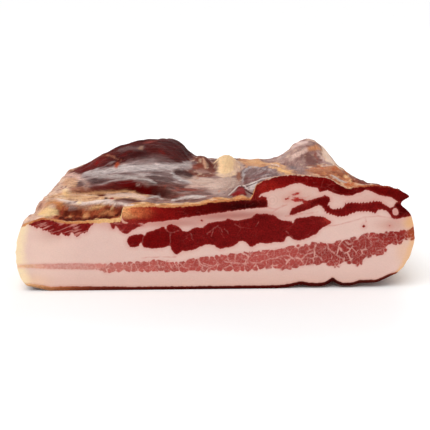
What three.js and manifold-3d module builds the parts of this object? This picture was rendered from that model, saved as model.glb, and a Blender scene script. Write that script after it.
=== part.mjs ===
// Air-dried pork belly slab, lying rind down. One thick piece, knife-cut across its front end.
// Millimetres, +Z up. X runs across the cut face, Y from the cut face to the rounded back end.
// The slab is a box of fine squares bent to shape: top and rind by height functions, sides by
// bulges, back end by a rounded rim. Two straight cuts then make the cut face and the flat
// the slab rests on.
import * as THREE from 'three';
import { mergeVertices } from 'three/addons/utils/BufferGeometryUtils.js';
import Module from 'manifold-3d';

const wasm = await Module();
wasm.setup();

// ---- overall size ----
const DEPTH = 168;                 // cut face to back end
const BACK_ROUNDING = 14;          // radius of the rim round the back end
const BACK_DOME = 4;               // how far the middle of the back end bulges out
const BACK_UNEVEN = [              // waves along the back end, in x
  { length: 190, height: 4, phase: 1.1 },
  { length: 71, height: 1.5, phase: 0.2 },
];
const RAW_FRONT = 2;               // the uncut blank reaches this far in front of the cut face
const CUT_BLOCK = 400;             // side of the blocks that make the two straight cuts

// ---- side walls: x where top and rind meet each wall, as [y, x] ----
const LEFT_WALL = [[0, -120], [17, -121], [24, -114.5], [55, -114], [132, -112], [152, -108],
  [168, -98]];
const RIGHT_WALL = [[0, 114], [30, 112], [60, 108], [100, 102], [132, 97], [152, 93], [168, 84]];
const LEFT_BULGE = 7.2;            // how far the left wall bulges out at mid height
const RIGHT_BULGE = 12.4;          // the same on the right
const RIGHT_CREASE = { t: 0.82, width: 0.07, size: -3.6 };
const RIGHT_LIP = { t: 0.915, width: 0.045, size: 4.6 };
const RIGHT_CREASE_END = [10, 70]; // y over which crease and lip fade out
const FOLD_INWARD = 8;             // how fast crease and lip fade out inwards from the wall

// ---- top: height across the slab as [x, z] at four distances from the cut face ----
const TOP_SECTIONS = [
  { y: 0, line: [[-122, 50.5], [-108, 55.2], [-92, 52.6], [-62, 54.6], [-48, 56.5], [-14, 56.7],
    [0, 59], [22, 60], [32, 65], [47, 68], [70, 65.8], [83, 59.4], [92, 60.4], [102, 60.4],
    [116, 57.6]] },
  { y: 55, line: [[-119, 47], [-106, 53], [-50, 55.5], [16, 57], [45, 62.5], [76, 63],
    [92, 57], [104, 50.5], [112, 43]] },
  { y: 132, line: [[-115, 45.5], [-98, 49.5], [-84, 51.5], [-50, 52.5], [0, 52], [36, 51.5],
    [74, 55], [90, 50], [100, 43]] },
  { y: 168, line: [[-110, 44], [-92, 48], [0, 49], [70, 49], [90, 42]] },
];

// lumps and hollows: centre, reach to the left, right, front and back, height, edge sharpness
const LUMPS = [
  { name: 'left hump', x: -41, y: 132, reach: [47, 24.5, 52, 40], height: 19.4, power: 2.6 },
  { name: 'foot of the hump', x: -77, y: 128, reach: [14, 14, 26, 30], height: 2.4, power: 2.2 },
  { name: 'right peak', x: 70, y: 130, reach: [18, 17.5, 42, 36], height: 15.2, power: 2.4 },
  { name: 'lean knob', x: -8.5, y: 120, reach: [7, 6, 9, 14], height: 5.4, power: 2.4 },
  { name: 'fat knob', x: 9, y: 118, reach: [9, 9, 14, 14], height: 8, power: 2.6 },
  { name: 'cleft between knobs', x: -1.5, y: 116, reach: [3.2, 2.6, 12, 14], height: -3, power: 2 },
  { name: 'loose flap', x: 17, y: 12, reach: [5, 4, 11, 12], height: 2.2, power: 3 },
  { name: 'pit under the fold', x: -49, y: 41, reach: [22, 9, 8, 6], height: -1.6, power: 2.4 },
  { name: 'fat lump at the left', x: -119.8, y: 17, reach: [4.6, 3.6, 11, 11], height: 2.5, power: 2.2 },
  { name: 'dip in the hump', x: -72, y: 132, reach: [12, 12, 24, 24], height: -1.6, power: 2 },
  { name: 'shoulder of the hump', x: -25, y: 130, reach: [7, 4.5, 24, 24], height: 1.6, power: 2.6 },
  { name: 'foot of the shoulder', x: -17.5, y: 126, reach: [4, 4, 16, 16], height: -2.8, power: 2 },
  { name: 'step on the peak', x: 59, y: 126, reach: [2, 3.5, 16, 14], height: 1.3, power: 3 },
  { name: 'notch beside the peak', x: 91, y: 116, reach: [4.5, 4, 20, 20], height: -2.4, power: 2.2 },
  { name: 'crag below the peak', x: 84, y: 36, reach: [9, 7, 13, 14], height: 2.2, power: 2.6 },
];

// ---- torn layer edges on the top ----
const TRIM_LINE = [[-122, 22], [-104, 14], [-80, 11], [-64, 8], [-60, 0], [-57, -9], [-49, -20]];
const TRIM_STEP = 6.3;             // the strip in front of the trim line lies this much lower
const TRIM_SLOPE = 8;              // length of the rough slope at the trim line
const FOLD_LINE = [[-104, 44], [-80, 48], [-62, 51], [-50, 50], [-40, 42], [-30, 31], [-18, 16]];
const FOLD_STEP = 4.8;             // the muscle layer behind the fold stands this much higher
const FOLD_ENDS = [[-106, -92], [-34, -16]];
const FOLD_SLOPE = 2.4;
const FOLD_REACH = 24;
const RIDGE_LINE = [[0, 24], [30, 21], [80, 19], [120, 22]];   // [y, x]: foot of the right muscle
const RIDGE_STEP = [[0, 7.5], [55, 4], [100, 2.5], [130, 0]];  // [y, height]
const RIDGE_SLOPE = [-1.5, 2.5];

// ---- rind, raw: what lies below z = 0 is cut flat ----
const RIND_LEVEL = -1;
const RIND_RISES = [                // the rind curves up towards both walls
  { from: -98, to: -126, height: 4.8 },
  { from: 20, to: 60, height: 2.3 },
  { from: 86, to: 94, height: 1.9 },
  { from: 101, to: 118, height: 6.2 },
];
const RIND_GROOVES = [              // short grooves that run back from the cut face
  { x: 75, width: 3.2, depth: 3.4, power: 1.6 },
  { x: 54, width: 5, depth: 1.2, power: 2 },
];
const GROOVE_END = [20, 110];

// ---- dried, wrinkled surface ----
const WRINKLES = [                  // wave lengths along x and y, height, phase, slant
  { x: 47, y: 29, height: 0.55, phase: 0.4, slant: 0.6 },
  { x: 21, y: 37, height: 0.38, phase: 2.1, slant: -0.5 },
  { x: 13, y: 17, height: 0.28, phase: 4.0, slant: 0.9 },
];
const WRINKLE_BEND = { x: 61, y: 83 };
const WRINKLE_START = [0, 14];      // y over which the wrinkles grow away from the cut face

// ---- squares along x, z and y ----
const COLUMNS = 68;
const LAYERS = 8;
const ROWS = 35;

const FLESH = { color: 0x7a2a24, roughness: 0.55, metalness: 0 };

const { clamp, lerp, smoothstep } = THREE.MathUtils;
const ramp = (from, to, value) => (from < to
  ? smoothstep(value, from, to)
  : 1 - smoothstep(value, to, from));
const bell = (distance, power) => Math.exp(-Math.pow(Math.abs(distance), power));

// A smooth line through knots [a, b] that never overshoots them.
function throughKnots(knots, a) {
  const gap = (i) => knots[i + 1][0] - knots[i][0];
  const rise = (i) => (knots[i + 1][1] - knots[i][1]) / gap(i);
  const slope = (i) => {
    if (i === 0) return rise(0);
    if (i === knots.length - 1) return rise(i - 1);
    const before = rise(i - 1);
    const after = rise(i);
    return before * after <= 0 ? 0 : (2 * before * after) / (before + after);
  };
  const at = clamp(a, knots[0][0], knots[knots.length - 1][0]);
  let i = 0;
  while (i < knots.length - 2 && at > knots[i + 1][0]) i += 1;
  const t = (at - knots[i][0]) / gap(i);
  const [t2, t3] = [t * t, t * t * t];
  return (2 * t3 - 3 * t2 + 1) * knots[i][1] + (t3 - 2 * t2 + t) * gap(i) * slope(i)
    + (3 * t2 - 2 * t3) * knots[i + 1][1] + (t3 - t2) * gap(i) * slope(i + 1);
}

function lumpHeight({ x: cx, y: cy, reach, height, power }, x, y) {
  const across = (x - cx) / (x < cx ? reach[0] : reach[1]);
  const along = (y - cy) / (y < cy ? reach[2] : reach[3]);
  return height * bell(Math.hypot(across, along), power);
}

function trimStep(x, y) {
  return -TRIM_STEP * (1 - ramp(0, TRIM_SLOPE, y - throughKnots(TRIM_LINE, x)));
}

function foldStep(x, y) {
  const behind = y - throughKnots(FOLD_LINE, x);
  const ends = ramp(...FOLD_ENDS[0], x) * (1 - ramp(...FOLD_ENDS[1], x));
  const step = ramp(-FOLD_SLOPE, FOLD_SLOPE, behind) - 0.5;
  return FOLD_STEP * ends * step * bell(behind / FOLD_REACH, 2);
}

function ridgeStep(x, y) {
  return throughKnots(RIDGE_STEP, y) * ramp(...RIDGE_SLOPE, x - throughKnots(RIDGE_LINE, y));
}

function wrinkles(x, y) {
  const turn = 2 * Math.PI;
  let sum = 0;
  for (const wave of WRINKLES) {
    const bendX = wave.slant * Math.sin((turn * y) / WRINKLE_BEND.x);
    const bendY = wave.slant * Math.sin((turn * x) / WRINKLE_BEND.y);
    sum += wave.height * Math.sin((turn * x) / wave.x + wave.phase + bendX)
      * Math.sin((turn * y) / wave.y + bendY);
  }
  return sum * ramp(...WRINKLE_START, y);
}

function topHeight(x, y) {
  const alongY = TOP_SECTIONS.map((section) => [section.y, throughKnots(section.line, x)]);
  const lumps = LUMPS.reduce((sum, lump) => sum + lumpHeight(lump, x, y), 0);
  return throughKnots(alongY, y) + lumps + trimStep(x, y) + foldStep(x, y) + ridgeStep(x, y)
    + wrinkles(x, y);
}

function rindHeight(x, y) {
  const rises = RIND_RISES.reduce((sum, r) => sum + r.height * ramp(r.from, r.to, x), 0);
  const grooves = RIND_GROOVES.reduce(
    (sum, groove) => sum + groove.depth * bell((x - groove.x) / groove.width, groove.power), 0);
  return RIND_LEVEL + rises + grooves * (1 - ramp(...GROOVE_END, y));
}

// t is 0 at the rind and 1 at the top
function leftBulge(t, y) {
  return -LEFT_BULGE * Math.pow(Math.sin(Math.PI * Math.pow(t, 0.88)), 0.6) - 0.5 * wrinkles(140 * t, y);
}

function rightBulge(t, y) {
  return RIGHT_BULGE * Math.pow(Math.sin(Math.PI * Math.pow(t, 0.85)), 0.8)
    + 0.5 * wrinkles(140 * t, y);
}

function rightFolds(t, y) {
  const [crease, lip] = [RIGHT_CREASE, RIGHT_LIP].map(
    (fold) => fold.size * bell((t - fold.t) / fold.width, 2));
  return (crease + lip) * (1 - ramp(...RIGHT_CREASE_END, y));
}

function backReach(x, y) {
  const uneven = BACK_UNEVEN.reduce(
    (sum, wave) => sum + wave.height * Math.sin((2 * Math.PI * x) / wave.length + wave.phase), 0);
  return uneven * ramp(DEPTH / 3, DEPTH, y);
}

// The place in the slab of a point of the unit box: s across, t up, v from front to back.
function placeInSlab(s, t, v) {
  const straight = DEPTH - BACK_ROUNDING;
  const rim = (BACK_ROUNDING * Math.PI) / 2;
  const along = lerp(-RAW_FRONT, straight + rim, v);
  const angle = (Math.PI / 2) * clamp((along - straight) / rim, 0, 1);
  const y = Math.min(along, straight) + BACK_ROUNDING * Math.sin(angle);
  const inset = BACK_ROUNDING * (1 - Math.cos(angle));
  const [wallLeft, wallRight] = [throughKnots(LEFT_WALL, y), throughKnots(RIGHT_WALL, y)];
  const left = wallLeft + leftBulge(t, y) + 0.8 * inset;
  const right = wallRight + rightBulge(t, y) - 0.8 * inset;
  const across = lerp(wallLeft, wallRight, s);
  const bottom = rindHeight(across, y) + 0.6 * inset;
  const top = topHeight(across, y) - inset;
  const dome = BACK_DOME * Math.sin(Math.PI * s) * Math.sin(Math.PI * t) * ramp(0.9, 1, v);
  const x = lerp(left, right, s) + rightFolds(t, y) * Math.pow(s, FOLD_INWARD);
  return [x, y + dome + backReach(across, y), lerp(bottom, top, t)];
}

// Squares are closer together near both walls, rind and top, the cut face and the back end.
const crowdEnds = (u) => lerp(u, 0.5 - 0.5 * Math.cos(Math.PI * u), 0.35);
const crowdFront = (u) => lerp(crowdEnds(u), u * u, 0.35);

function blankGeometry() {
  const box = new THREE.BoxGeometry(1, 1, 1, COLUMNS, ROWS, LAYERS);
  const at = box.attributes.position;
  for (let i = 0; i < at.count; i += 1) {
    const s = crowdEnds(clamp(at.getX(i) + 0.5, 0, 1));
    const v = crowdFront(clamp(at.getY(i) + 0.5, 0, 1));
    const t = crowdEnds(clamp(at.getZ(i) + 0.5, 0, 1));
    at.setXYZ(i, ...placeInSlab(s, t, v));
  }
  return box;
}

function solidOf(geometry) {
  geometry.deleteAttribute('normal');
  geometry.deleteAttribute('uv');
  const merged = mergeVertices(geometry, 1e-4);
  return new wasm.Manifold(new wasm.Mesh({
    numProp: 3,
    vertProperties: new Float32Array(merged.attributes.position.array),
    triVerts: new Uint32Array(merged.index.array),
  }));
}

function geometryOf(solid) {
  const { vertProperties, triVerts } = solid.getMesh();
  const geometry = new THREE.BufferGeometry();
  geometry.setAttribute('position', new THREE.BufferAttribute(vertProperties, 3));
  geometry.setIndex(new THREE.BufferAttribute(triVerts, 1));
  return geometry;
}

function blockAt(x, y, z) {
  return solidOf(new THREE.BoxGeometry(CUT_BLOCK, CUT_BLOCK, CUT_BLOCK).translate(x, y, z));
}

function slabGeometry() {
  const belowFlat = blockAt(0, 0, -CUT_BLOCK / 2);
  const beforeCut = blockAt(0, -CUT_BLOCK / 2, 0);
  const slab = solidOf(blankGeometry()).subtract(belowFlat).subtract(beforeCut);
  const geometry = geometryOf(slab);
  // the origin lies under the middle of the slab
  geometry.computeBoundingBox();
  const middle = geometry.boundingBox.getCenter(new THREE.Vector3());
  geometry.translate(-middle.x, -middle.y, 0);
  geometry.computeVertexNormals();
  return geometry;
}

const slab = new THREE.Mesh(slabGeometry(), new THREE.MeshStandardMaterial(FLESH));
slab.name = 'belly_slab';

const model = new THREE.Group();
model.add(slab);

export default model;
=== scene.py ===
"""Air-dried pork belly slab: a fresh knife cut in front, dried folds and humps on top, rind below.

The form functions are those of the part's source, in millimetres, with x across the cut face, y from
the cut face to the back end and z up. One closed mesh replaces the CAD node. It carries distances
and colours as attributes, and the materials turn those into fat, lean, seams, rind and dried crust.
"""
import math
from functools import reduce
from types import SimpleNamespace

import bpy
import numpy as np
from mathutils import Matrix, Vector
from mathutils.geometry import delaunay_2d_cdt


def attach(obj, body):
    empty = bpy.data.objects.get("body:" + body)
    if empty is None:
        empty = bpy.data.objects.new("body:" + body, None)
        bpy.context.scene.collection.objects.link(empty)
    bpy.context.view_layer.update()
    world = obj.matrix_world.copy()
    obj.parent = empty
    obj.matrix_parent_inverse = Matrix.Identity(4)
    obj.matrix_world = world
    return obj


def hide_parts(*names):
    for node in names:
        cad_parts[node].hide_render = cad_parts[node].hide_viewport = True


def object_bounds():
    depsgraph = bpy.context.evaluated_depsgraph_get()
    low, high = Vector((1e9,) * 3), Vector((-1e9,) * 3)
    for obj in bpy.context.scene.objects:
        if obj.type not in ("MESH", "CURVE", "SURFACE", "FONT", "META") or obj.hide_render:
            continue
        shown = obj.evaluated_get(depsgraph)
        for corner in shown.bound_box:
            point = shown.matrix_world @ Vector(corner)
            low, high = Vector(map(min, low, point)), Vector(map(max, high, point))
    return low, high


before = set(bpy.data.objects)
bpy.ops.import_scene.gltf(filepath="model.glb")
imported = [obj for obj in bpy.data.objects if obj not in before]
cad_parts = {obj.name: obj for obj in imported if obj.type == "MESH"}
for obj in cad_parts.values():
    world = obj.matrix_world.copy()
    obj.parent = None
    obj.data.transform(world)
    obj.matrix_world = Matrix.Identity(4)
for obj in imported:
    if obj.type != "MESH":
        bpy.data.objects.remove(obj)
CAD_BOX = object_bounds()
MM = 0.001

# ---- form: the same named sizes as the part, in mm ----
DEPTH = 168  # from the cut to the back end, without its dome
BACK_ROUNDING = 14
BACK_DOME = 4  # how far the middle of the back end stands out
BACK_UNEVEN = [(190, 4, 1.1), (71, 1.5, 0.2)]  # wave length, height, phase
# y and x along the foot of each wall
LEFT_WALL = [(0, -120), (17, -121), (24, -114.5), (55, -114), (132, -112), (152, -108), (168, -98)]
RIGHT_WALL = [(0, 114), (30, 112), (60, 108), (100, 102), (132, 97), (152, 93), (168, 84)]
LEFT_BULGE = 7.2  # how far each wall stands out past its foot
RIGHT_BULGE = 12.4
LEFT_BULGE_POWERS = (0.88, 0.6)  # how high up the wall it bulges most, and how squarely
RIGHT_BULGE_POWERS = (0.85, 0.8)
WALL_RISE = 140  # mm of the top's wrinkles that a wall shows from the rind up
WALL_WRINKLES = 0.5  # their height there, as a share of that on top
WALL_INSET, RIND_INSET = 0.8, 0.6  # shares of the back rounding's inset at the walls and the rind
DOME_START = 0.9  # share of the way to the back at which the dome begins
RIGHT_CREASE = (0.82, 0.07, -3.6)  # height and width as shares of the wall's height, then mm outward
RIGHT_LIP = (0.915, 0.045, 4.6)
RIGHT_CREASE_END = (10, 70)  # y over which both end
FOLD_INWARD = 8  # power by which they fade from the right wall inward
TOP_SECTIONS = [  # y of each section, then its line of x, z
    (0, [(-122, 50.5), (-108, 55.2), (-92, 52.6), (-62, 54.6), (-48, 56.5), (-14, 56.7), (0, 59),
         (22, 60), (32, 65), (47, 68), (70, 65.8), (83, 59.4), (92, 60.4), (102, 60.4), (116, 57.6)]),
    (55, [(-119, 47), (-106, 53), (-50, 55.5), (16, 57), (45, 62.5), (76, 63), (92, 57),
          (104, 50.5), (112, 43)]),
    (132, [(-115, 45.5), (-98, 49.5), (-84, 51.5), (-50, 52.5), (0, 52), (36, 51.5), (74, 55),
           (90, 50), (100, 43)]),
    (168, [(-110, 44), (-92, 48), (0, 49), (70, 49), (90, 42)]),
]
LUMPS = [  # x, y, reach left, right, front, back, height, power
    (-41, 132, 47, 24.5, 52, 40, 19.4, 2.6),
    (-77, 128, 14, 14, 26, 30, 2.4, 2.2),
    (70, 130, 18, 17.5, 42, 36, 15.2, 2.4),
    (-8.5, 120, 7, 6, 9, 14, 5.4, 2.4),
    (9, 118, 9, 9, 14, 14, 8, 2.6),
    (-1.5, 116, 3.2, 2.6, 12, 14, -3, 2),
    (17, 12, 5, 4, 11, 12, 2.2, 3),
    (-49, 41, 22, 9, 8, 6, -1.6, 2.4),
    (-119.8, 17, 4.6, 3.6, 11, 11, 2.5, 2.2),
    (-72, 132, 12, 12, 24, 24, -1.6, 2),
    (-25, 130, 7, 4.5, 24, 24, 1.6, 2.6),
    (-17.5, 126, 4, 4, 16, 16, -2.8, 2),
    (59, 126, 2, 3.5, 16, 14, 1.3, 3),
    (91, 116, 4.5, 4, 20, 20, -2.4, 2.2),
    (84, 36, 9, 7, 13, 14, 2.2, 2.6),
]
# x and y of the step where the left front was trimmed down, and of the fold behind it
TRIM_LINE = [(-122, 22), (-104, 14), (-80, 11), (-64, 8), (-60, 0), (-57, -9), (-49, -20)]
TRIM_STEP = 6.3
TRIM_SLOPE = 8
FOLD_LINE = [(-104, 44), (-80, 48), (-62, 51), (-50, 50), (-40, 42), (-30, 31), (-18, 16)]
FOLD_STEP = 4.8
FOLD_ENDS = ((-106, -92), (-34, -16))
FOLD_SLOPE = 2.4  # half of its run from front to back
FOLD_REACH = 24
RIDGE_LINE = [(0, 24), (30, 21), (80, 19), (120, 22)]  # y and x of the right muscle's foot
RIDGE_STEP = [(0, 7.5), (55, 4), (100, 2.5), (130, 0)]  # y and its height
RIDGE_SLOPE = (-1.5, 2.5)
RIND_LEVEL = -1
# x from which the rind begins to lift off the table, x at which it has, height
RIND_RISES = [(-98, -126, 4.8), (20, 60, 2.3), (86, 94, 1.9), (101, 118, 6.2)]
RIND_GROOVES = [(75, 3.2, 3.4, 1.6), (54, 5, 1.2, 2)]  # x, width, depth, power
GROOVE_END = (20, 110)
# wave length in x and in y, height, phase, slant
WRINKLES = [(47, 29, 0.55, 0.4, 0.6), (21, 37, 0.38, 2.1, -0.5), (13, 17, 0.28, 4.0, 0.9)]
WRINKLE_BEND = (61, 83)  # wave lengths in y and x of the wrinkles' own bends
WRINKLE_START = (0, 14)  # y over which they begin

# ---- mesh: squares across, up and along the slab ----
COLUMNS = 316
LAYERS = 62
ROWS = 150
COARSE = 3  # the underside has a point for every third of these, inside its border
CROWD_ACROSS, CROWD_UP = 0.12, 0.2  # how much closer the points stand at a side's ends
SHARP_ANGLE = 55  # degrees between two faces from which their edge is drawn sharp
ROW_CROWD = ((44, 22, 1.5), (0, 10, 0.7))  # y, reach and extra share of rows: the fold, the cut's edge


def ramp(start, end, value):
    """0 at start, 1 at end, smooth between; start may be the larger."""
    t = np.clip((np.asarray(value, float) - start) / (end - start), 0, 1)
    return t * t * (3 - 2 * t)


def bell(distance, power):
    """1 at distance 0 and falling to 0; a higher power makes its middle flatter and its sides steeper."""
    return np.exp(-np.abs(distance) ** power)


def slopes(at, values):
    """Slopes of a line through knots that never overshoots them; values may hold many lines."""
    rise = np.diff(values, axis=0) / np.diff(at).reshape([-1] + [1] * (values.ndim - 1))
    before, after = rise[:-1], rise[1:]
    total = np.where(before + after == 0, 1, before + after)
    inner = np.where(before * after <= 0, 0, 2 * before * after / total)
    return np.concatenate([rise[:1], inner, rise[-1:]])


def hermite(t, gap, start, end, slope_start, slope_end):
    """The curve from start to end that has these slopes there, at a share t of the gap."""
    t2, t3 = t * t, t * t * t
    return ((2 * t3 - 3 * t2 + 1) * start + (t3 - 2 * t2 + t) * gap * slope_start
            + (3 * t2 - 2 * t3) * end + (t3 - t2) * gap * slope_end)


def through_knots(knots, value):
    """A smooth line through knots of place and height, level outside them."""
    at, height = np.array(knots, float).T
    slope = slopes(at, height)
    value = np.clip(value, at[0], at[-1])
    i = np.clip(np.searchsorted(at, value, side="left") - 1, 0, len(at) - 2)
    gap = at[i + 1] - at[i]
    return hermite((value - at[i]) / gap, gap, height[i], height[i + 1], slope[i], slope[i + 1])


def wrinkles(x, y):
    """Shallow waves that cross one another, with their own bends."""
    turn = 2 * np.pi
    total = 0
    for wave_x, wave_y, height, phase, slant in WRINKLES:
        bend_x = slant * np.sin(turn * y / WRINKLE_BEND[0])
        bend_y = slant * np.sin(turn * x / WRINKLE_BEND[1])
        total = total + (height * np.sin(turn * x / wave_x + phase + bend_x)
                         * np.sin(turn * y / wave_y + bend_y))
    return total * ramp(*WRINKLE_START, y)


def behind_fold(x, y):
    """How far behind the fold a place lies, and how much of the fold there is at that x."""
    ends = ramp(*FOLD_ENDS[0], x) * (1 - ramp(*FOLD_ENDS[1], x))
    return y - through_knots(FOLD_LINE, x), ends


def top_height(x, y):
    """Height of the top: its sections, lumps, trimmed step, fold, muscle's step and wrinkles."""
    at = np.array([y_at for y_at, _ in TOP_SECTIONS], float)
    heights = np.array([through_knots(line, x) for _, line in TOP_SECTIONS])
    slope = slopes(at, heights)
    y_in = np.clip(y, at[0], at[-1])
    i = np.clip(np.searchsorted(at, y_in, side="left") - 1, 0, len(at) - 2)
    n = np.arange(len(x))
    gap = at[i + 1] - at[i]
    z = hermite((y_in - at[i]) / gap, gap, heights[i, n], heights[i + 1, n], slope[i, n], slope[i + 1, n])
    for cx, cy, left, right, front, back, height, power in LUMPS:
        across = (x - cx) / np.where(x < cx, left, right)
        along = (y - cy) / np.where(y < cy, front, back)
        z = z + height * bell(np.hypot(across, along), power)
    z = z - TRIM_STEP * (1 - ramp(0, TRIM_SLOPE, y - through_knots(TRIM_LINE, x)))
    behind, ends = behind_fold(x, y)
    step = ramp(-FOLD_SLOPE, FOLD_SLOPE, behind) - 0.5
    z = z + FOLD_STEP * ends * step * bell(behind / FOLD_REACH, 2)
    z = z + through_knots(RIDGE_STEP, y) * ramp(*RIDGE_SLOPE, x - through_knots(RIDGE_LINE, y))
    return z + wrinkles(x, y)


def rind_height(x, y):
    """Height of the rind over the table; where it is below 0 the underside is flat."""
    z = RIND_LEVEL + sum(height * ramp(start, end, x) for start, end, height in RIND_RISES)
    fade = 1 - ramp(*GROOVE_END, y)
    for at, width, depth, power in RIND_GROOVES:
        z = z + depth * fade * bell((x - at) / width, power)
    return z


def bulge(size, powers, t, y):
    """How far a wall stands out at a share t of its height."""
    low, square = powers
    return size * np.sin(np.pi * t ** low) ** square + WALL_WRINKLES * wrinkles(WALL_RISE * t, y)


def right_folds(t, y):
    """The crease and the lip high on the right wall, near the cut."""
    folds = sum(size * bell((t - at) / width, 2) for at, width, size in (RIGHT_CREASE, RIGHT_LIP))
    return folds * (1 - ramp(*RIGHT_CREASE_END, y))


def place_in_slab(s, t, v):
    """Where a point of the unit box lies in the slab: s across, t up, v from front to back."""
    straight = DEPTH - BACK_ROUNDING
    rim = BACK_ROUNDING * np.pi / 2
    along = v * (straight + rim)
    angle = np.pi / 2 * np.clip((along - straight) / rim, 0, 1)
    y = np.minimum(along, straight) + BACK_ROUNDING * np.sin(angle)
    inset = BACK_ROUNDING * (1 - np.cos(angle))
    wall_left, wall_right = through_knots(LEFT_WALL, y), through_knots(RIGHT_WALL, y)
    left = wall_left - bulge(LEFT_BULGE, LEFT_BULGE_POWERS, t, y) + WALL_INSET * inset
    right = wall_right + bulge(RIGHT_BULGE, RIGHT_BULGE_POWERS, t, y) - WALL_INSET * inset
    across = wall_left + (wall_right - wall_left) * s
    bottom = rind_height(across, y) + RIND_INSET * inset
    top = top_height(across, y) - inset
    dome = BACK_DOME * np.sin(np.pi * s) * np.sin(np.pi * t) * ramp(DOME_START, 1, v)
    uneven = sum(height * np.sin(2 * np.pi * across / length + phase)
                 for length, height, phase in BACK_UNEVEN)
    y_back = y + dome + uneven * ramp(DEPTH / 3, DEPTH, y)
    x = left + (right - left) * s + right_folds(t, y) * s ** FOLD_INWARD
    return np.stack([x, y_back, bottom + (top - bottom) * t], axis=1)


# ---- seeded noise ----
ROUGH_SUM = 1.6  # brings a sum of octaves back to about -1 to 1


def lattice(cell, seed):
    """A repeatable random number from -1 to 1 for each whole-numbered cell."""
    h = cell[:, 0] * 374761393 + cell[:, 1] * 668265263 + cell[:, 2] * 2147483647 + seed * 974634777
    h = (h ^ (h >> 13)) * 1274126177 & 0x7FFFFFFF
    h = (h ^ (h >> 16)) * 668265263 & 0x7FFFFFFF
    return ((h ^ (h >> 15)) & 0xFFFFF) / 0x80000 - 1


def noise(points, size, seed):
    """Smooth noise from -1 to 1 with lumps of about this size; size may differ along x, y and z."""
    p = points / np.asarray(size, float)
    cell = np.floor(p).astype(np.int64)
    f = p - cell
    f = f * f * (3 - 2 * f)
    total = 0
    for corner in range(8):
        bit = np.array([corner & 1, corner >> 1 & 1, corner >> 2 & 1])
        weight = np.prod(np.where(bit, f, 1 - f), axis=1)
        total = total + weight * lattice(cell + bit, seed)
    return total


def rough(points, size, seed, octaves=3):
    """Noise with finer and fainter noise on it, from about -1 to 1."""
    size = np.asarray(size, float)
    return sum(noise(points, size / 2 ** k, seed + k) / 2 ** k for k in range(octaves)) / ROUGH_SUM


# strength in mm or as a share, size in mm along x, y and z, seed, octaves
NOISES = {
    "dry edge": (1.6, (4, 5, 1), 135),
    "stroke shift x": (0.9, 4, 101),
    "stroke shift z": (0.45, (5, 4, 1), 102),
    "stroke fray along fibres": (0.5, (9, 2.6, 1), 103, 2),
    "stroke fray": (0.7, 3.4, 104, 2),
    "patch shift x": (2.2, 13, 11),
    "patch shift y": (3.0, (15, 11, 1), 12),
    "muscle streaks": (1, (26, 3.4, 1), 21, 4),
    "feathered edges": (1, (15, 1.9, 1), 25),
    "flecks": (1, (6, 9, 1), 31),
    "blots": (1, (4.2, 2.2, 2.5), 35),
    "crumbs": (1, (2.6, 1.4, 2), 36, 2),
    "trim grain": (1, (4.4, 2.4, 2), 51, 4),
    "trim crags": (1, (2.8, 1.5, 1.5), 55),
    "wall shift x": (9, (40, 34, 14), 61),
    "wall shift z": (1, (34, 30, 12), 62),
    "wall lean edge": (1.2, 5, 63),
    "wall streak edge": (1.6, 4, 64),
    "wall light": (0.5, (22, 26, 9), 65),
    "wall tan": (1, (9, 13, 6), 66),
    "wall rind edge": (1, 6, 67),
    "wall worn": (1, (7, 11, 3), 68),
    "top lumps": (0.45, (8, 10, 1), 71),
    "top fibres": (0.6, (24, 4.5, 1), 21),
    "top grit": (0.2, (3, 4, 1), 72, 2),
    "crusty lumps": (1.2, (6, 8, 1), 75),
    "strip crags": (1.1, (4.4, 2.4, 2), 51),
    "strip grit": (0.3, (2, 1.4, 1), 73, 2),
    "cut lean x": (3.2, (4.5, 2.6, 1), 131),
    "cut lean z": (2.4, (4.5, 2.6, 1), 132),
    "cut rim": (4, (4, 9, 1), 133, 2),
    "cut rind": (5, (6, 9, 1), 134, 2),
}


def layer(points, name):
    """One of the named noises, with its strength."""
    strength, *how = NOISES[name]
    return strength * rough(points, *how)


def on_plane(x, y):
    return np.stack([x, y, 0 * x], axis=1)


def rounded(outline, parts=3):
    """A closed outline with its corners rounded: a smooth curve through its points."""
    p1 = np.array(outline, float)
    p0, p2, p3 = np.roll(p1, 1, axis=0), np.roll(p1, -1, axis=0), np.roll(p1, -2, axis=0)
    curve = []
    for t in np.arange(parts) / parts:
        curve.append(0.5 * (2 * p1 + (p2 - p0) * t + (2 * p0 - 5 * p1 + 4 * p2 - p3) * t * t
                            + (3 * p1 - p0 - 3 * p2 + p3) * t ** 3))
    return np.stack(curve, axis=1).reshape(-1, 2)


def signed_distance(x, z, outline):
    """Distance in mm to a closed outline, rounded at its corners, positive inside it."""
    corners = rounded(outline)
    nearest = np.full(len(x), 1e9)
    inside = np.zeros(len(x), bool)
    for (ax, az), (bx, bz) in zip(corners, np.roll(corners, -1, axis=0)):
        along = ((x - ax) * (bx - ax) + (z - az) * (bz - az)) / ((bx - ax) ** 2 + (bz - az) ** 2)
        along = np.clip(along, 0, 1)
        nearest = np.minimum(nearest, np.hypot(x - ax - along * (bx - ax), z - az - along * (bz - az)))
        crosses = (az > z) != (bz > z)
        level = np.where(crosses, (z - az) / (bz - az if bz != az else 1), 0)
        inside ^= crosses & (x < ax + level * (bx - ax))
    return np.where(inside, nearest, -nearest)


def distance_to_line(points, line):
    """Distance of each point from a line through knots, and the share of the line's length passed there."""
    knots = np.asarray(line, float)
    nearest, share = np.linalg.norm(points - knots[0], axis=1), np.full(len(points), 0.5)
    lengths = np.linalg.norm(np.diff(knots, axis=0), axis=1)
    passed = np.concatenate([[0.0], np.cumsum(lengths)])
    for start, end, length, before in zip(knots[:-1], knots[1:], lengths, passed):
        way = (end - start) / length
        along = np.clip((points - start) @ way, 0, length)
        gap = np.linalg.norm(points - start - along[:, None] * way, axis=1)
        share = np.where(gap <= nearest, (before + along) / passed[-1], share)
        nearest = np.minimum(nearest, gap)
    return nearest, share


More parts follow.
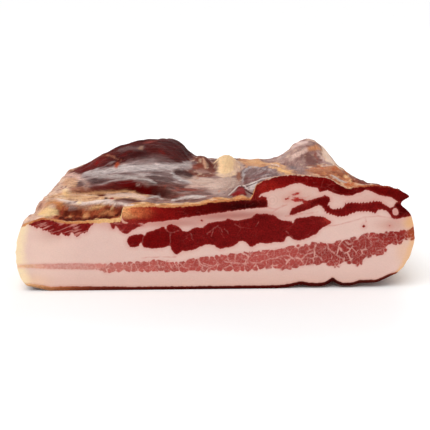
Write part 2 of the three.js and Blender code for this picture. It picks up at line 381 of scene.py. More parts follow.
def linear(rgb):
    """An sRGB colour, 0 to 255, as linear light."""
    c = np.array(rgb, float) / 255
    return np.where(c <= 0.04045, c / 12.92, ((c + 0.055) / 1.055) ** 2.4)


def between(low, high, mask):
    """Two sets of colours mixed: low where the mask is 0, high where it is 1."""
    return low + (high - low) * mask[:, None]


def tinted(colour, rgb, mask):
    return between(colour, linear(rgb), mask)


def plain(rgb, points):
    """One colour for every point."""
    return np.tile(linear(rgb), (len(points), 1))


# ---- what shows on the cut face: outlines in mm, x across and z up ----
MAIN_LEAN = [
    (-56.3, 33), (-54.7, 35.9), (-50.8, 37), (-46.6, 37.9), (-44.6, 36.6), (-43.2, 38.6), (-39.7, 39.7),
    (-35.5, 41.3), (-33.7, 42.6), (-31.9, 42.3), (-31.2, 40.6), (-30.2, 43.2), (-27, 43.6), (-22.8, 42),
    (-19, 38.6), (-13, 41.6), (-8, 41.5), (-3, 44.8), (6, 45.8), (8, 47.4), (13, 45.8),
    (23, 47.6), (26, 50.1), (36, 49.4), (42, 45.9), (48, 45.3), (49.5, 44), (51, 46.4), (59, 47.8),
    (67, 48), (71, 45.9), (74, 44.3), (70, 41.4), (66, 39.1), (65, 36.9), (59, 34.1), (54, 32.2),
    (50, 32.8), (47, 34.8), (45, 34.3), (43, 31.4), (33, 30.7), (26, 30.1), (23, 28), (17, 32.6),
    (12, 29.2), (3, 27.2), (-2, 30.2), (-9, 29.1), (-14, 26.6), (-19, 25.5), (-21, 26), (-25, 23.4),
    (-28, 26.6), (-29, 30), (-33.3, 28.2), (-38.4, 28), (-44.3, 28.4), (-46.4, 29.4), (-47, 31.8),
    (-48.3, 29.9), (-51.1, 28.6), (-54.5, 29.2),
]
SHELF_LEAN = [
    (-58.6, 48.4), (-59.2, 52.6), (-56.6, 56.4), (-50, 57), (-34, 56.4), (-14, 56.4), (-9, 58), (1, 60.4),
    (8, 59.6), (22, 60.4), (32, 61.2), (33, 56), (33.5, 54), (30, 54.3), (14, 52.3), (8, 51.8),
    (-4, 49.9), (-14, 48.7), (-28, 46.3), (-38, 45.6), (-47, 44.4), (-54.2, 44.9), (-57.4, 46.2),
]
CAP_LEAN = [
    (21, 62), (26, 70), (34, 75), (48, 78), (70, 76), (84, 69), (92, 69), (104, 68), (122, 68),
    (123, 60), (117, 56), (111, 59.5), (103, 61.6), (98, 63.9), (94, 64.8), (88, 62), (83, 61.3),
    (76, 62.4), (71, 64.4), (66, 63.9), (64, 66.2), (59, 67.3), (53, 69.6), (48, 68.9), (41, 66.4),
    (31, 63.6), (24, 60.2),
]
FLANK_LEAN = [
    (47, 48.8), (49, 53.5), (54, 56.3), (60, 59), (67, 60.6), (68.5, 62.2), (71, 60.6), (73, 58.3),
    (71, 55.5), (74, 53.2), (80, 53.2), (82, 56), (88, 57), (93, 56.4), (102, 57.8), (105, 56.2),
    (109, 54), (112, 53.8), (114, 56.5), (117, 56), (124, 48.5), (122.3, 47.4), (118.4, 46.4), (116, 45.8),
    (113, 45.7), (110.9, 47.4), (109.6, 49.6), (107.6, 51.2), (103.2, 51.7), (101, 49.8), (95, 51),
    (88, 50.3), (82, 47.8), (77, 47.8), (70, 50.5), (68, 53.3), (65, 55.6), (62, 53.9), (55, 51.2),
]
CORNER_LEAN = [
    (-117.3, 45.4), (-114.5, 43.3), (-112.4, 42.1), (-110.6, 42.6), (-108.3, 40.4), (-105.8, 40.3),
    (-103.8, 38), (-101.3, 37.5), (-98.8, 36.7), (-97.4, 38.9), (-95.8, 37.4), (-92.4, 36.8), (-90.6, 38.9),
    (-89, 37), (-86.5, 36.4), (-84.3, 38.3), (-82.1, 38.4), (-79.9, 41.1), (-77.7, 43.7), (-76.1, 45.5),
    (-77, 49.5), (-90, 49), (-108, 51),
]
LOBE_LEAN = [
    (-66.6, 46.8), (-66, 44.5), (-65.3, 41.4), (-63.8, 40.9), (-62.7, 43), (-60.9, 40.9), (-58.6, 38.4),
    (-56.4, 37.9), (-54, 39.1), (-51.6, 40.8), (-48.2, 42), (-44.7, 43.2), (-47.2, 43.9), (-53.1, 44.6),
    (-58.2, 45.1), (-59.8, 46.4),
]
SMEARS = [  # thin red streaks of meat in the fat: x, z along each, then half its thickness
    ([(44.5, 59.6), (48, 59.2), (52, 59.4), (57.5, 57.9)], 0.75), ([(46, 61), (50, 60.6)], 0.4),
    ([(47.8, 62.9), (52.6, 63.1)], 0.5), ([(49.5, 58.2), (53.5, 58.2)], 0.4),
]
MUSCLES = (MAIN_LEAN, SHELF_LEAN, CAP_LEAN, FLANK_LEAN, CORNER_LEAN, LOBE_LEAN)
STREAK = [
    (-127, 17.6), (-118, 18.2), (-106, 18.4), (-93, 18.6), (-81, 18.4), (-71, 18), (-48, 19.4),
    (-35, 20.1), (-24, 18.6), (-16, 20.4),
    (-10, 21.8), (0, 22.6), (11, 24.1), (26, 25.4), (38, 26.9), (44, 27.9), (60, 29.7), (62, 31.2),
    (73, 30.4), (80, 32), (92, 34.6), (97, 36.8), (104, 36.8), (113, 38.2), (121, 38.6), (129, 42.5),
    (130, 31.6), (122, 32.4), (119, 30.6), (115, 28.2), (110, 28.4), (108, 22.6), (104, 21.8), (96, 19.6),
    (92, 14.6), (88, 15.6), (82, 16.8), (77, 13.4), (70, 16.4), (65, 15.6), (54, 14.4), (50, 13.4),
    (41, 12.4), (38, 14.2), (28, 12.9), (18, 12), (3, 12.6), (-9, 11.9), (-29, 12), (-42, 12.2),
    (-55, 12.2), (-60, 13.6), (-66, 13.2), (-72, 13.4), (-77, 14), (-90, 14.3), (-106, 14.8), (-118, 15.6),
    (-127, 16.4),
]
STREAK_SCRAP = [(-71.5, 13.2), (-66, 14.4), (-60.4, 14.8), (-60, 13.4), (-66, 11.9), (-71, 11.5)]
NODULE = (113.6, 50.3, 1.85, 0.8)  # x, z, half width and width by height of a fat nodule in the lean
RINGED_NODULE = (36, 58.6)  # a nodule with faint rings, in the fat beside the shelf

FAT_LINES = [  # white seams and flecks in the dark lean
    [(-31.5, 41.5), (-30.6, 40), (-28.6, 38.2), (-28.4, 33.1), (-28.9, 29.6)], [(-27.9, 37.9), (-23, 39.9)],
    [(-44.8, 37.4), (-46, 33.3), (-47.4, 30.4)], [(2, 42.6), (4.6, 38.4)], [(6, 40.3), (8.4, 37.3)],
    [(25.8, 42.2), (27.5, 44.7)], [(-5, 37.4), (-1, 40.6), (2, 42.6)], [(-1, 40.6), (-2.4, 36)],
    [(45, 38.4), (48.6, 34.4)], [(12.4, 43.8), (15.6, 41.6)], [(-15.6, 37.4), (-14.2, 33.4)],
]
STREAK_SEAMS = [  # the wider fat seams of the mixed streak
    [(5.8, 18.9), (12.1, 17.6), (17.6, 17.2), (26.4, 17.4), (34.2, 19.9), (40.5, 21.1), (45.4, 22.6),
     (49.3, 20), (54.7, 19.4), (57.1, 21.9), (62.9, 24.9), (64, 30.1)],
    [(13.1, 23.9), (12.1, 18.9)], [(21, 22.8), (20.8, 18.2)], [(-10.7, 21.7), (-10.6, 17), (-7.3, 12.7)],
    [(-23.8, 18.6), (-20.7, 15.2), (-18.5, 14.3), (-16.2, 15.7)], [(-30, 19.6), (-27.9, 13.9)],
    [(-37.2, 19.7), (-36, 14.5)], [(-54.3, 17.5), (-53.5, 13.7)], [(-7.7, 17.4), (-1.4, 15.5), (1.7, 17.8)],
    [(63.2, 23.9), (66.7, 20.8), (67.7, 18.7)],
    [(71.3, 30), (71.9, 26.4), (76.4, 23.2), (80.9, 19.6), (82.4, 17.5)],
    [(82.5, 31.4), (84.5, 29.3), (87.4, 30.3)], [(95, 34.8), (97.5, 33.3), (102.8, 33.7), (105.3, 31.7)],
]
VEINS = [  # thin pink lines in the fat
    [(66, 41.2), (78.9, 42.2), (86.4, 44.7), (94.5, 46.9), (102.7, 47.6), (111.6, 46.4)],
    [(94.5, 46.9), (95.3, 44)], [(-46.9, 21.6), (-35.4, 22.5), (-25.2, 22)],
    [(29.6, 54.5), (37.8, 53.1), (45.3, 55.6)], [(35.9, 51.2), (42.8, 55.3)],
    [(44.1, 48.1), (53.5, 49.7), (64.8, 50.9)], [(52.1, 60.8), (57.1, 60.1), (60.2, 62)],
]
BLOOD_SPOTS = [(94, 41, 0.9), (110.5, 41.4, 0.6), (-8.5, 46.2, 0.8)]  # x, z, radius

# Colours of the cut face, sRGB. Patches of them: x, z, reach in x, reach in z, colour, strength.
FAT = (220, 186, 175)
FAT_PATCHES = [
    (-110, 24, 18, 26, (230, 196, 182), 0.8),
    # painted shade: the fat made darker along the whole bottom of the cut
    (0, 4, 130, 7, (214, 176, 163), 0.9),
    (-119, 6, 12, 5, (230, 190, 160), 0.8),
    (-104, 38, 10, 5, (208, 168, 156), 0.8),
    (112, 42, 11, 4.5, (202, 156, 143), 0.95),
    (-56.6, 48, 3.4, 4.2, (228, 178, 130), 0.95),
    (52, 60, 20, 8, (208, 166, 152), 0.9),
    (100, 59, 22, 5, (208, 162, 150), 0.8),
    (-10, 50, 46, 5, (210, 164, 152), 0.7),
    (-26, 44.4, 26, 2.8, (184, 124, 114), 0.85),
    (10, 49.2, 34, 3.2, (172, 113, 103), 0.95),
    (-58, 44, 20, 4, (206, 146, 134), 0.5),
    (-70, 47, 9, 4, (208, 152, 138), 0.6),
    (113.6, 50.3, 2.8, 2.8, (204, 146, 136), 0.9),
]
DRY_EDGES = [  # width in mm from the cut's left or right outline, colour at it
    ("left", 8.8, (243, 217, 179)), ("right", 5.5, (226, 180, 138)),
]
# patches over the dried right edge
EDGE_STAINS = [(122.5, 43.5, 4, 4.5, (220, 168, 122), 0.85), (120, 24, 5, 8, (222, 178, 146), 0.6)]
LEAN = (109, 15, 15)
LEAN_PATCHES = [
    (-34, 50, 16, 8, (126, 14, 12), 0.9),
    (-10, 53, 17, 7, (88, 4, 3), 1.0),
    (20, 55, 23, 7, (45, 0, 0), 1.0),
    (-42, 54.5, 11, 3.2, (140, 20, 16), 0.85),
    (-50, 52.5, 8, 4.6, (190, 98, 60), 1.0),
    (-56.5, 51.5, 4.4, 5.4, (216, 148, 96), 1.0),
    (-53, 45.6, 4, 1.6, (150, 40, 28), 0.9),
    (34, 66, 9, 6, (146, 28, 20), 0.9),
    (60, 70, 20, 7, (108, 2, 1), 0.8),
    (80, 66, 12, 6, (80, 0, 0), 0.9),
    (104, 63, 16, 5, (96, 2, 1), 0.9),
    (64, 57, 22, 6, (90, 1, 1), 0.8),
    (118, 53, 8, 7, (70, 0, 0), 1.0),
    (-98, 43, 24, 9, (121, 23, 22), 1.0),
    (-58, 41.5, 12, 5, (123, 29, 28), 1.0),
    (-40, 33, 18, 9, (104, 5, 5), 0.9),
    (50, 59.8, 8, 5, (168, 52, 46), 1.0),
    (71.5, 44.8, 5, 2.6, (156, 46, 38), 0.9),
]
STREAK_LEAN = (166, 72, 66)
STREAK_PATCHES = [
    (-96, 16.5, 44, 8, (194, 122, 110), 0.9),
    (-124, 17, 12, 8, (224, 170, 130), 1.0),
    (-41, 16, 10, 6, (178, 86, 78), 0.7),
    (114, 34, 17, 8, (134, 34, 30), 1.0),
    (127, 37, 5, 8, (160, 74, 38), 0.95),
    (84, 24, 26, 12, (133, 38, 34), 0.85),
]
# The rim of crust that the cut shows along the top: x, thickness, colour.
RIM = [
    (-120, 1.2, (204, 140, 92)), (-112, 1.4, (176, 96, 56)), (-104, 1.0, (196, 130, 84)),
    (-98, 1.3, (198, 130, 84)), (-80, 1.4, (204, 136, 86)), (-74, 2.2, (224, 174, 118)),
    (-60, 2.6, (228, 180, 124)), (-57, 1.0, (230, 186, 134)), (-50, 1.1, (216, 158, 106)),
    (-30, 1.2, (200, 136, 90)),
    (-4, 1.1, (198, 130, 82)), (12, 1.1, (190, 116, 72)), (23, 0.8, (184, 104, 66)),
    (30, 0.5, (206, 166, 146)), (76, 0.5, (204, 160, 134)), (84, 0.9, (208, 160, 126)),
    (92, 0.8, (182, 102, 66)), (104, 0.5, (156, 72, 48)), (116, 0.4, (116, 38, 28)),
]
# The rind's edge along the bottom: x, thickness, colour.
RIND_EDGE = [
    (-121, 1.4, (226, 176, 128)), (-112, 2.6, (202, 136, 92)), (-100, 2.9, (170, 96, 62)),
    (-88, 2.9, (140, 66, 44)), (-76, 2.6, (112, 42, 30)), (-55, 2.2, (96, 24, 16)), (-20, 2.1, (84, 14, 9)),
    (40, 2.2, (80, 12, 8)), (68, 2.3, (74, 12, 8)), (75, 2.5, (68, 12, 9)), (82, 2.2, (66, 14, 11)),
    (104, 2.0, (84, 24, 17)), (111, 1.8, (92, 30, 21)), (117, 1.2, (140, 66, 44)),
]

# ---- what shows on the dried top: outlines in mm, x across and y away from the cut ----
DRAPE_LEVEL = 52  # mm, the usual height of the top
DRAPE = 0.9  # mm of pattern for each mm that the top rises
GREY_LEAN, DULL_LEAN = (150, 118, 110), (112, 76, 70)
# name, outline, softness, raggedness, colour, second colour, share of the second colour's streaks
TOP_PATCHES = [
    ("left shoulder", [(-135, -5), (-98, -5), (-97, 20), (-92, 44), (-95, 70), (-101, 100), (-100, 180),
                       (-135, 180)], 5, 4, (208, 170, 150), (190, 128, 100), 0.5),
    ("back fat", [(-100, 150), (-40, 168), (40, 160), (100, 150), (110, 200), (-110, 200)],
     6, 5, (206, 160, 122), (150, 92, 66), 0.5),
    ("dark hump", [(-103, 98), (-86, 90), (-60, 90), (-36, 86), (-22, 80), (-16, 98), (-15, 128),
                   (-22, 158), (-60, 166), (-96, 152), (-106, 126)], 3, 6, (74, 17, 14), (84, 23, 19), 0.5),
    ("red end of the hump", [(-104, 96), (-84, 92), (-82, 112), (-90, 136), (-108, 130)],
     4, 5, (90, 22, 18), (124, 56, 42), 0.4),
    # bloom with painted sheen: the grey is partly the hump's sheen under the light from behind
    ("bloom_and_sheen", [(-98, 88), (-84, 92), (-60, 91), (-36, 88), (-20, 74), (-12, 56), (-20, 50), (-36, 56),
               (-52, 64), (-74, 66), (-94, 62)], 4, 5, (167, 146, 142), (104, 74, 71), 0.62),
    ("grey slope", [(-96, 64), (-74, 68), (-52, 66), (-34, 58), (-18, 50), (-14, 38), (-24, 26),
                    (-32, 34), (-42, 44), (-52, 52), (-66, 54), (-94, 48)],
     3, 3, (112, 80, 76), (74, 42, 39), 0.6),
    ("cream shelf", [(-108, 42), (-82, 46), (-66, 47), (-54, 44), (-44, 36), (-43, 22), (-50, 15),
                     (-60, 18), (-80, 18), (-100, 18), (-110, 24)],
     2, 2.5, (206, 162, 128), (190, 130, 88), 0.45),
    ("fold shadow", [(-96, 43), (-80, 47), (-64, 50), (-50, 50), (-40, 43), (-29, 32), (-33, 27),
                     (-44, 36), (-53, 43), (-66, 45), (-82, 44)], 1.2, 1.2, (94, 30, 24), (66, 10, 8), 0.5),
    ("mixed strip", [(-46, 30), (-36, 36), (-24, 26), (-14, 34), (-2, 40), (4, 24), (2, 8), (-20, 9),
                     (-40, 10), (-44, 20)], 2.5, 3.5, (158, 120, 110), (122, 76, 66), 0.6),
    ("pale film", [(-20, 76), (-5, 70), (4, 78), (15, 74), (17, 50), (9, 28), (0, 24), (-5, 38),
                   (-12, 46), (-18, 60)], 3, 4, (188, 157, 143), (160, 124, 110), 0.5),
    ("lean knob", [(-19, 80), (-2, 78), (1, 100), (0, 128), (-7, 142), (-16, 132), (-19, 104)],
     1.6, 2, (130, 74, 60), (92, 46, 38), 0.5),
    ("cream knob", [(3, 98), (4, 86), (9, 80), (15, 86), (17, 100), (18, 128), (12, 146), (4, 146), (1, 128)],
     1.8, 1.2, (242, 203, 156), (232, 188, 146), 0.35),
    ("striped muscle", [(19, 62), (22, 22), (27, 2), (44, 0), (42, 60), (38, 94), (23, 100), (19, 86)],
     1.5, 1.5, (144, 116, 112), (104, 74, 71), 0.62),
    ("tan stripe", [(24, 98), (37, 94), (43, 60), (42, 2), (49, -2), (52, 50), (45, 98), (37, 132),
                    (34, 176), (20, 176), (20, 130)], 2, 2, (198, 146, 106), (168, 108, 74), 0.5),
    ("purple muscle", [(50, -2), (52, 50), (45, 98), (58, 104), (65, 62), (63, 20), (66, -2)],
     3, 3, (152, 116, 108), (120, 80, 74), 0.55),
    ("peak", [(45, 98), (57, 104), (68, 108), (74, 130), (70, 156), (44, 156)],
     4, 4, (182, 146, 136), (144, 106, 98), 0.45),
    ("peak muscle", [(62, 60), (75, 56), (77, 84), (72, 100), (66, 96)],
     2, 2.5, (138, 98, 92), (104, 64, 58), 0.5),
    ("cream flank", [(77, 58), (88, 58), (88, 104), (82, 150), (76, 120), (77, 90)],
     3, 3, (218, 186, 164), (190, 146, 118), 0.4),
    ("rough tan", [(60, -2), (98, -2), (94, 40), (86, 62), (76, 66), (66, 56), (62, 30)],
     3, 4, (188, 118, 80), (130, 62, 42), 0.6),
    ("right flap", [(94, -4), (130, -4), (130, 70), (104, 96), (96, 60)],
     3, 3, (128, 54, 40), (96, 26, 20), 0.55),
    ("right flank fat", [(92, 62), (104, 90), (130, 66), (130, 190), (88, 190), (90, 110)],
     5, 4, (216, 172, 134), (160, 96, 68), 0.5),
    ("cut rim", [(-57, -4), (-57, 3), (-44, 6.5), (-20, 5.5), (0, 5), (9, 4.5), (21, 5), (23, -4)],
     0.8, 1.6, (212, 154, 104), (190, 118, 72), 0.5),
    ("loose flap", [(9, 8), (13, 22), (16.5, 40), (18.5, 30), (19.5, 12), (18, 5)],
     0.6, 0.6, (136, 18, 20), (96, 10, 10), 0.45),
    ("white wedge", [(20, 34), (22, 28), (24, 18), (26.5, 10), (25.5, 3), (23, 8), (21, 22)],
     0.5, 0.5, (214, 200, 196), (176, 152, 144), 0.3),
]
FIBROUS = ("dark hump", "bloom_and_sheen", "grey slope", "striped muscle", "purple muscle", "mixed strip")
CRUSTY = ("rough tan", "right flap", "cut rim", "right flank fat", "back fat")
BLOTCHY = CRUSTY + ("left shoulder", "cream shelf", "lean knob", "peak", "peak muscle")
PALE_CRUMB, DARK_CRUMB = (234, 200, 168), (96, 40, 30)

# Ridges, stains and films, with painted shade in the fold and painted highlights and sheen on some ridges,
# each a stroke along a line of x, y. Half a stroke's width is measured as the slab looks from the front at
# this angle, where the flat top is foreshortened.
SIGHT = math.radians(16)
DEEP = 0.12  # share of the distance from front to back that parts a stroke from what lies behind it
# half width, strength, lift in mm, colour, then one or more lines; each row lies over those before it
STROKES = {
    "hump": [
        # the pale grey strokes are bloom with painted sheen on the hump's ridges
        (2.5, 0.8, 0.3, (196, 180, 176), [(-94, 92), (-77, 86), (-65, 81), (-38, 81), (-28, 86), (-19, 100)]),
        (1.4, 0.8, 0.3, (174, 157, 152), [(-90, 85), (-78, 75), (-62, 68), (-45, 64)]),
        (0.9, 0.9, 0.7, (192, 176, 170), [(-86, 48), (-78, 52), (-69, 60), (-58, 63), (-46, 57), (-40, 49)]),
        (1.9, 0.85, -0.3, (78, 50, 48), [(-86, 69), (-80, 61), (-74, 59)]),
        (1.6, 0.85, -0.3, (78, 46, 42), [(-47, 64), (-38, 61), (-29, 58)]),
        (0.6, 0.85, -0.3, (96, 68, 66), [(-66, 74), (-53, 69)], [(-44, 72), (-35, 71)]),
        (2.2, 0.95, -0.5, (64, 32, 30), [(-28, 78), (-21, 76), (-16, 75)]),
        (0.8, 0.85, 0.3, (186, 172, 168), [(-30, 76), (-27, 68), (-22, 64), (-15, 54)]),
        (3.0, 0.75, 0.2, (168, 150, 147), [(-23, 86), (-19, 98), (-17, 110)]),
        (2.4, 0.75, 0, (100, 54, 46), [(-38, 44), (-28, 42), (-18, 50)]),
        (0.7, 0.8, 0, (132, 60, 44), [(-34, 38), (-32, 38)], [(-26, 40), (-24, 40)]),
        (3.2, 0.5, 0, (120, 92, 89), [(-61, 92), (-42, 90), (-31, 90)]),
        (4.0, 0.75, 0, (62, 14, 14), [(-37, 118), (-27, 124), (-21, 120)]),
        (2.8, 0.7, 0, (60, 18, 18), [(-73, 107), (-61, 100), (-48, 98)]),
        (1.8, 0.6, 0, (120, 92, 90), [(-71, 117), (-62, 114), (-51, 108)]),
        (2.8, 0.85, 0.2, (100, 26, 22), [(-104, 118), (-97, 118), (-87, 111), (-80, 107)]),
        (1.4, 0.9, 0, (122, 12, 10), [(-88, 111), (-85, 110)]),
        (0.5, 0.75, 0.2, (172, 108, 84), [(-86, 122), (-81, 118), (-74, 108), (-68, 98)]),
        (1.7, 0.95, 0.4, (172, 66, 30), [(-71.4, 91), (-68.8, 91)]),
        (1.5, 0.75, 0.2, (172, 130, 108), [(-53.5, 109)]),
        (1.0, 0.9, -0.2, (82, 6, 3), [(-70, 104), (-64, 106)]),
        (1.1, 0.8, 0, (98, 16, 9), [(-40, 104), (-36, 97)]),
        (0.9, 0.7, 0, (142, 62, 54), [(-53, 123), (-42, 121)]),
    ],
    "fold": [
        # painted shadow: the next three strokes darken the fold under the hump's lip
        (2.8, 0.9, -0.2, (100, 36, 32), [(-92, 46), (-84, 47.5), (-74, 50), (-65, 52), (-58, 53)]),
        (2.5, 0.98, -0.9, (88, 0, 0), [(-66, 52), (-59, 52), (-51, 50), (-46, 46), (-39, 39)]),
        (1.8, 0.92, -0.5, (78, 28, 25), [(-42, 43), (-35, 32), (-27, 26), (-22, 20)]),
        # painted highlight: small glints at the fold's lip
        (0.5, 0.7, 0.2, (170, 142, 132), [(-53, 51), (-50, 50)]),
        (0.9, 0.85, 0.5, (214, 164, 118), [(-96, 45), (-87, 45), (-74, 47.5), (-60, 48), (-54, 46)]),
        (0.7, 0.85, 0.2, (208, 156, 118), [(-58, 47), (-52, 43), (-47, 36), (-42, 28)]),
        (1.6, 0.85, 0.2, (208, 162, 122), [(-100, 42), (-90, 41), (-78, 38)]),
        # painted highlight: a thin bright line along the cream band in front of the fold
        (0.6, 0.85, 0.3, (228, 190, 164), [(-100, 44), (-88, 43.5), (-78, 42)]),
        (1.5, 0.9, 0.2, (212, 180, 164), [(-74, 42), (-60, 42), (-50, 27), (-45, 22)]),
        (1.1, 0.95, 0, (84, 36, 30), [(-65, 20), (-60, 21.5), (-54, 18), (-48, 10)]),
        (1.2, 0.9, 0, (146, 34, 30), [(-68, 27)]),
        (0.9, 0.95, -0.2, (54, 8, 6), [(-72, 30)]),
        (0.6, 0.85, 0.3, (196, 180, 174), [(-44, 22), (-41, 28), (-37, 28), (-34, 20)]),
        (0.9, 0.8, -0.4, (110, 74, 68), [(-40, 11), (-37, 10)]),
    ],
    "left shoulder": [
        (3.5, 0.7, 0, (205, 155, 118), [(-108, 98), (-100, 71), (-96, 54)]),
        (2.0, 0.75, 0, (216, 174, 160), [(-113, 122), (-106, 106), (-99, 92), (-96, 84)]),
        (0.7, 0.8, 0, (190, 138, 110), [(-108, 98), (-102, 90), (-97, 80)]),
        (1.6, 0.7, 0, (176, 146, 134), [(-95, 84), (-91, 66), (-88, 60)]),
        (1.8, 0.8, -0.4, (150, 94, 74), [(-97, 48), (-91, 47), (-84, 47.5)]),
        (2.0, 0.8, 0.3, (182, 140, 124), [(-87, 49)]),
        (0.7, 0.9, -0.5, (116, 70, 64), [(-87, 49)]),
        (0.8, 0.9, -0.3, (124, 62, 54), [(-114, 23)], [(-107, 66)], [(-103, 62)]),
        (1.0, 0.8, 0.2, (234, 198, 152), [(-103, 49), (-99, 47)]),
        (1.1, 0.8, 0, (238, 196, 140), [(-103, 44.5), (-99, 44)]),
    ],
    "trimmed strip": [
        (1.9, 0.8, 0.3, (164, 122, 100), [(-98, 20), (-91, 19.5), (-84, 17), (-77, 16.5)]),
        (0.9, 0.9, 0.2, (228, 202, 190), [(-97, 25), (-93, 24), (-85, 19), (-78, 21), (-68, 16), (-58, 8),
                                          (-51, 1)]),
        (0.6, 0.9, -0.6, (90, 48, 48), [(-91, 26)], [(-94, 23)]),
        (0.9, 0.8, 0.2, (240, 206, 152), [(-88, 24)]),
        (2.6, 0.95, 0.5, (232, 194, 140), [(-113, 17), (-108, 16), (-102, 14)]),
        (1.2, 0.9, -0.3, (194, 126, 76), [(-110, 21), (-105, 21), (-100, 19.5), (-98, 17)]),
        (1.2, 0.8, 0, (142, 116, 110), [(-95, 18), (-90, 17)]),
        (1.3, 0.9, -0.8, (104, 38, 22), [(-98, 13.5), (-94, 15), (-90, 14), (-86, 12)]),
        (1.0, 0.9, -0.6, (128, 48, 26), [(-83, 14), (-78, 14)], [(-80, 10), (-78, 8)]),
        (1.6, 0.85, 0.3, (206, 134, 88), [(-84, 13), (-81, 9)]),
        (1.1, 0.85, 0.3, (206, 152, 104), [(-80, 16), (-75, 15.5), (-71, 15)]),
        (1.5, 0.9, -0.9, (116, 40, 22), [(-65, 11), (-60, 6), (-58.5, 2)]),
        (0.9, 0.8, -0.4, (130, 52, 30), [(-71, 14.5), (-66, 14)]),
        (1.4, 0.8, 0.3, (194, 124, 80), [(-74, 12), (-69, 12), (-65, 9)]),
        (0.9, 0.85, 0, (152, 60, 42), [(-101, 15), (-97, 15)], [(-98, 17)]),
    ],
    "middle": [
        (2.4, 0.7, 0.3, (196, 164, 149), [(-15, 56), (-7, 62), (2, 59), (12, 60)]),
        (2.2, 0.7, 0.1, (172, 144, 136), [(-6, 30), (1, 25), (7, 25)]),
        (1.6, 0.6, 0, (204, 172, 158), [(-6, 43), (1, 43), (7, 38)]),
        (1.8, 0.75, -0.2, (110, 74, 68), [(-19, 24), (-11, 26), (-2, 21)]),
        (0.8, 0.85, -0.3, (134, 62, 50), [(-29, 31), (-22, 36), (-17, 40), (-8, 36)]),
        (0.8, 0.8, 0.3, (200, 160, 146), [(-20, 45), (-13, 48), (-7, 43)]),
        (0.8, 0.75, 0, (150, 78, 66), [(-31, 25), (-25, 24), (-20, 21)]),
        (0.8, 0.9, 0.5, (210, 192, 184), [(-27, 17), (-22, 18), (-14, 18), (-6, 16)]),
        (0.6, 0.95, -0.8, (72, 26, 22), [(-25, 13), (-16, 12), (-6, 9)]),
        (0.6, 0.7, 0, (190, 110, 70), [(3, 28)]),
        (1.6, 0.85, 0, (126, 50, 34), [(-16, 96), (-12, 104), (-9, 108)]),
        (1.8, 0.9, -0.2, (96, 34, 22), [(-6, 119), (-3, 121), (-1, 114)]),
        (0.8, 0.9, 0.3, (206, 156, 128), [(-8, 117), (-7, 112), (-7, 106)]),
        (1.8, 0.8, 0, (158, 118, 106), [(-14, 88), (-8, 95), (-4, 96)]),
        (1.2, 0.85, -0.3, (108, 58, 50), [(-5, 86)]),
        (1.0, 0.7, 0, (178, 120, 90), [(-12, 73)]),
        (1.4, 0.8, 0, (104, 80, 80), [(-16, 107), (-14, 112)]),
        (1.6, 0.8, 0, (198, 168, 154), [(16, 150), (19, 130), (21, 109)]),
        (2.2, 0.7, 0, (218, 180, 160), [(15, 134), (17, 118), (16, 100), (13, 92)]),
        (1.5, 0.7, 0, (214, 178, 156), [(2, 88), (7, 84), (14, 88)]),
        (1.3, 0.9, -0.6, (150, 92, 68), [(17, 91), (17, 74), (16, 58)]),
        (0.6, 0.85, 0.3, (188, 176, 174), [(20, 86), (20, 64), (19, 50)]),
    ],
    "striped muscle": [
        (0.8, 0.85, 0.4, (172, 156, 156), [(20, 75), (23, 84), (27, 98), (31, 94), (35, 67), (38.6, 40)]),
        (0.5, 0.85, 0.3, (166, 148, 146), [(26, 54), (29.6, 59), (33, 65)], [(30, 21), (34, 20), (36, 16)]),
        (0.5, 0.9, -0.4, (106, 66, 64), [(26, 50), (29, 57), (33, 58)], [(35.6, 20), (38, 20)]),
        (0.55, 0.9, -0.4, (120, 62, 56), [(26, 40), (30, 40), (32.5, 43.5), (35, 45), (36.5, 40)]),
        (0.9, 0.85, -0.2, (120, 54, 46), [(20, 52), (21.7, 46), (23.4, 36)]),
        (0.7, 0.85, -0.4, (114, 82, 82), [(20, 52), (27, 38), (34, 42), (38, 27)]),
        (0.7, 0.8, 0, (132, 82, 80), [(19, 50), (24, 23), (30, 16)]),
        (0.5, 0.8, -0.3, (124, 92, 92), [(22, 72), (26, 77), (32, 94)]),
        (1.6, 0.9, 0.2, (207, 154, 109), [(20, 149), (28, 145), (37, 138), (44, 106), (48, 62)]),
        (1.3, 0.9, 0.2, (220, 166, 114), [(39, 78), (44, 44), (47, 8)]),
        (0.7, 0.85, 0.3, (228, 208, 198), [(42, 108), (45, 68)]),
        (0.9, 0.8, 0, (154, 94, 72), [(21, 152), (25, 147)]),
        (1.6, 0.75, 0, (170, 144, 138), [(47, 136), (51, 120), (56, 114)]),
    ],
    "peak": [
        (1.3, 0.6, 0, (226, 196, 188), [(58, 118), (64, 118), (69, 116)]),
        (2.2, 0.85, 0.2, (222, 190, 170), [(79, 98), (81, 92), (83, 78)]),
        (3.6, 0.9, -0.3, (108, 66, 60), [(66, 88), (68, 77), (69, 62)]),
        # painted highlight along the peak's ridge
        (1.6, 0.85, 0.6, (216, 180, 166), [(54, 89), (57, 95), (62, 96), (67, 97)]),
        (1.8, 0.85, 0.4, (188, 124, 82), [(68, 96), (74, 101), (77, 99)]),
        (0.9, 0.85, -0.3, (130, 66, 52), [(72, 92), (72, 81), (72, 70)]),
        (0.6, 0.85, 0.3, (198, 162, 152), [(74, 90), (76, 77), (77, 69)]),
        (1.4, 0.8, -0.2, (150, 116, 112), [(76, 72), (79, 69), (82, 70)]),
        (0.6, 0.85, 0.3, (198, 180, 176), [(73, 55), (77, 57), (84, 68)]),
        (2.8, 0.75, 0, (150, 120, 114), [(51, 55), (56, 45), (60, 37)]),
        (1.8, 0.75, -0.2, (112, 94, 94), [(54, 58)]),
        (1.2, 0.9, 0.3, (226, 172, 114), [(43, 44), (45, 31), (47, 8)]),
        (2.6, 0.8, 0.3, (176, 112, 80), [(62, 32), (72, 41), (81, 44), (91, 60)]),
        (1.0, 0.8, 0.2, (176, 82, 42), [(72, 49)], [(79, 40)], [(66, 16)], [(90, 64)]),
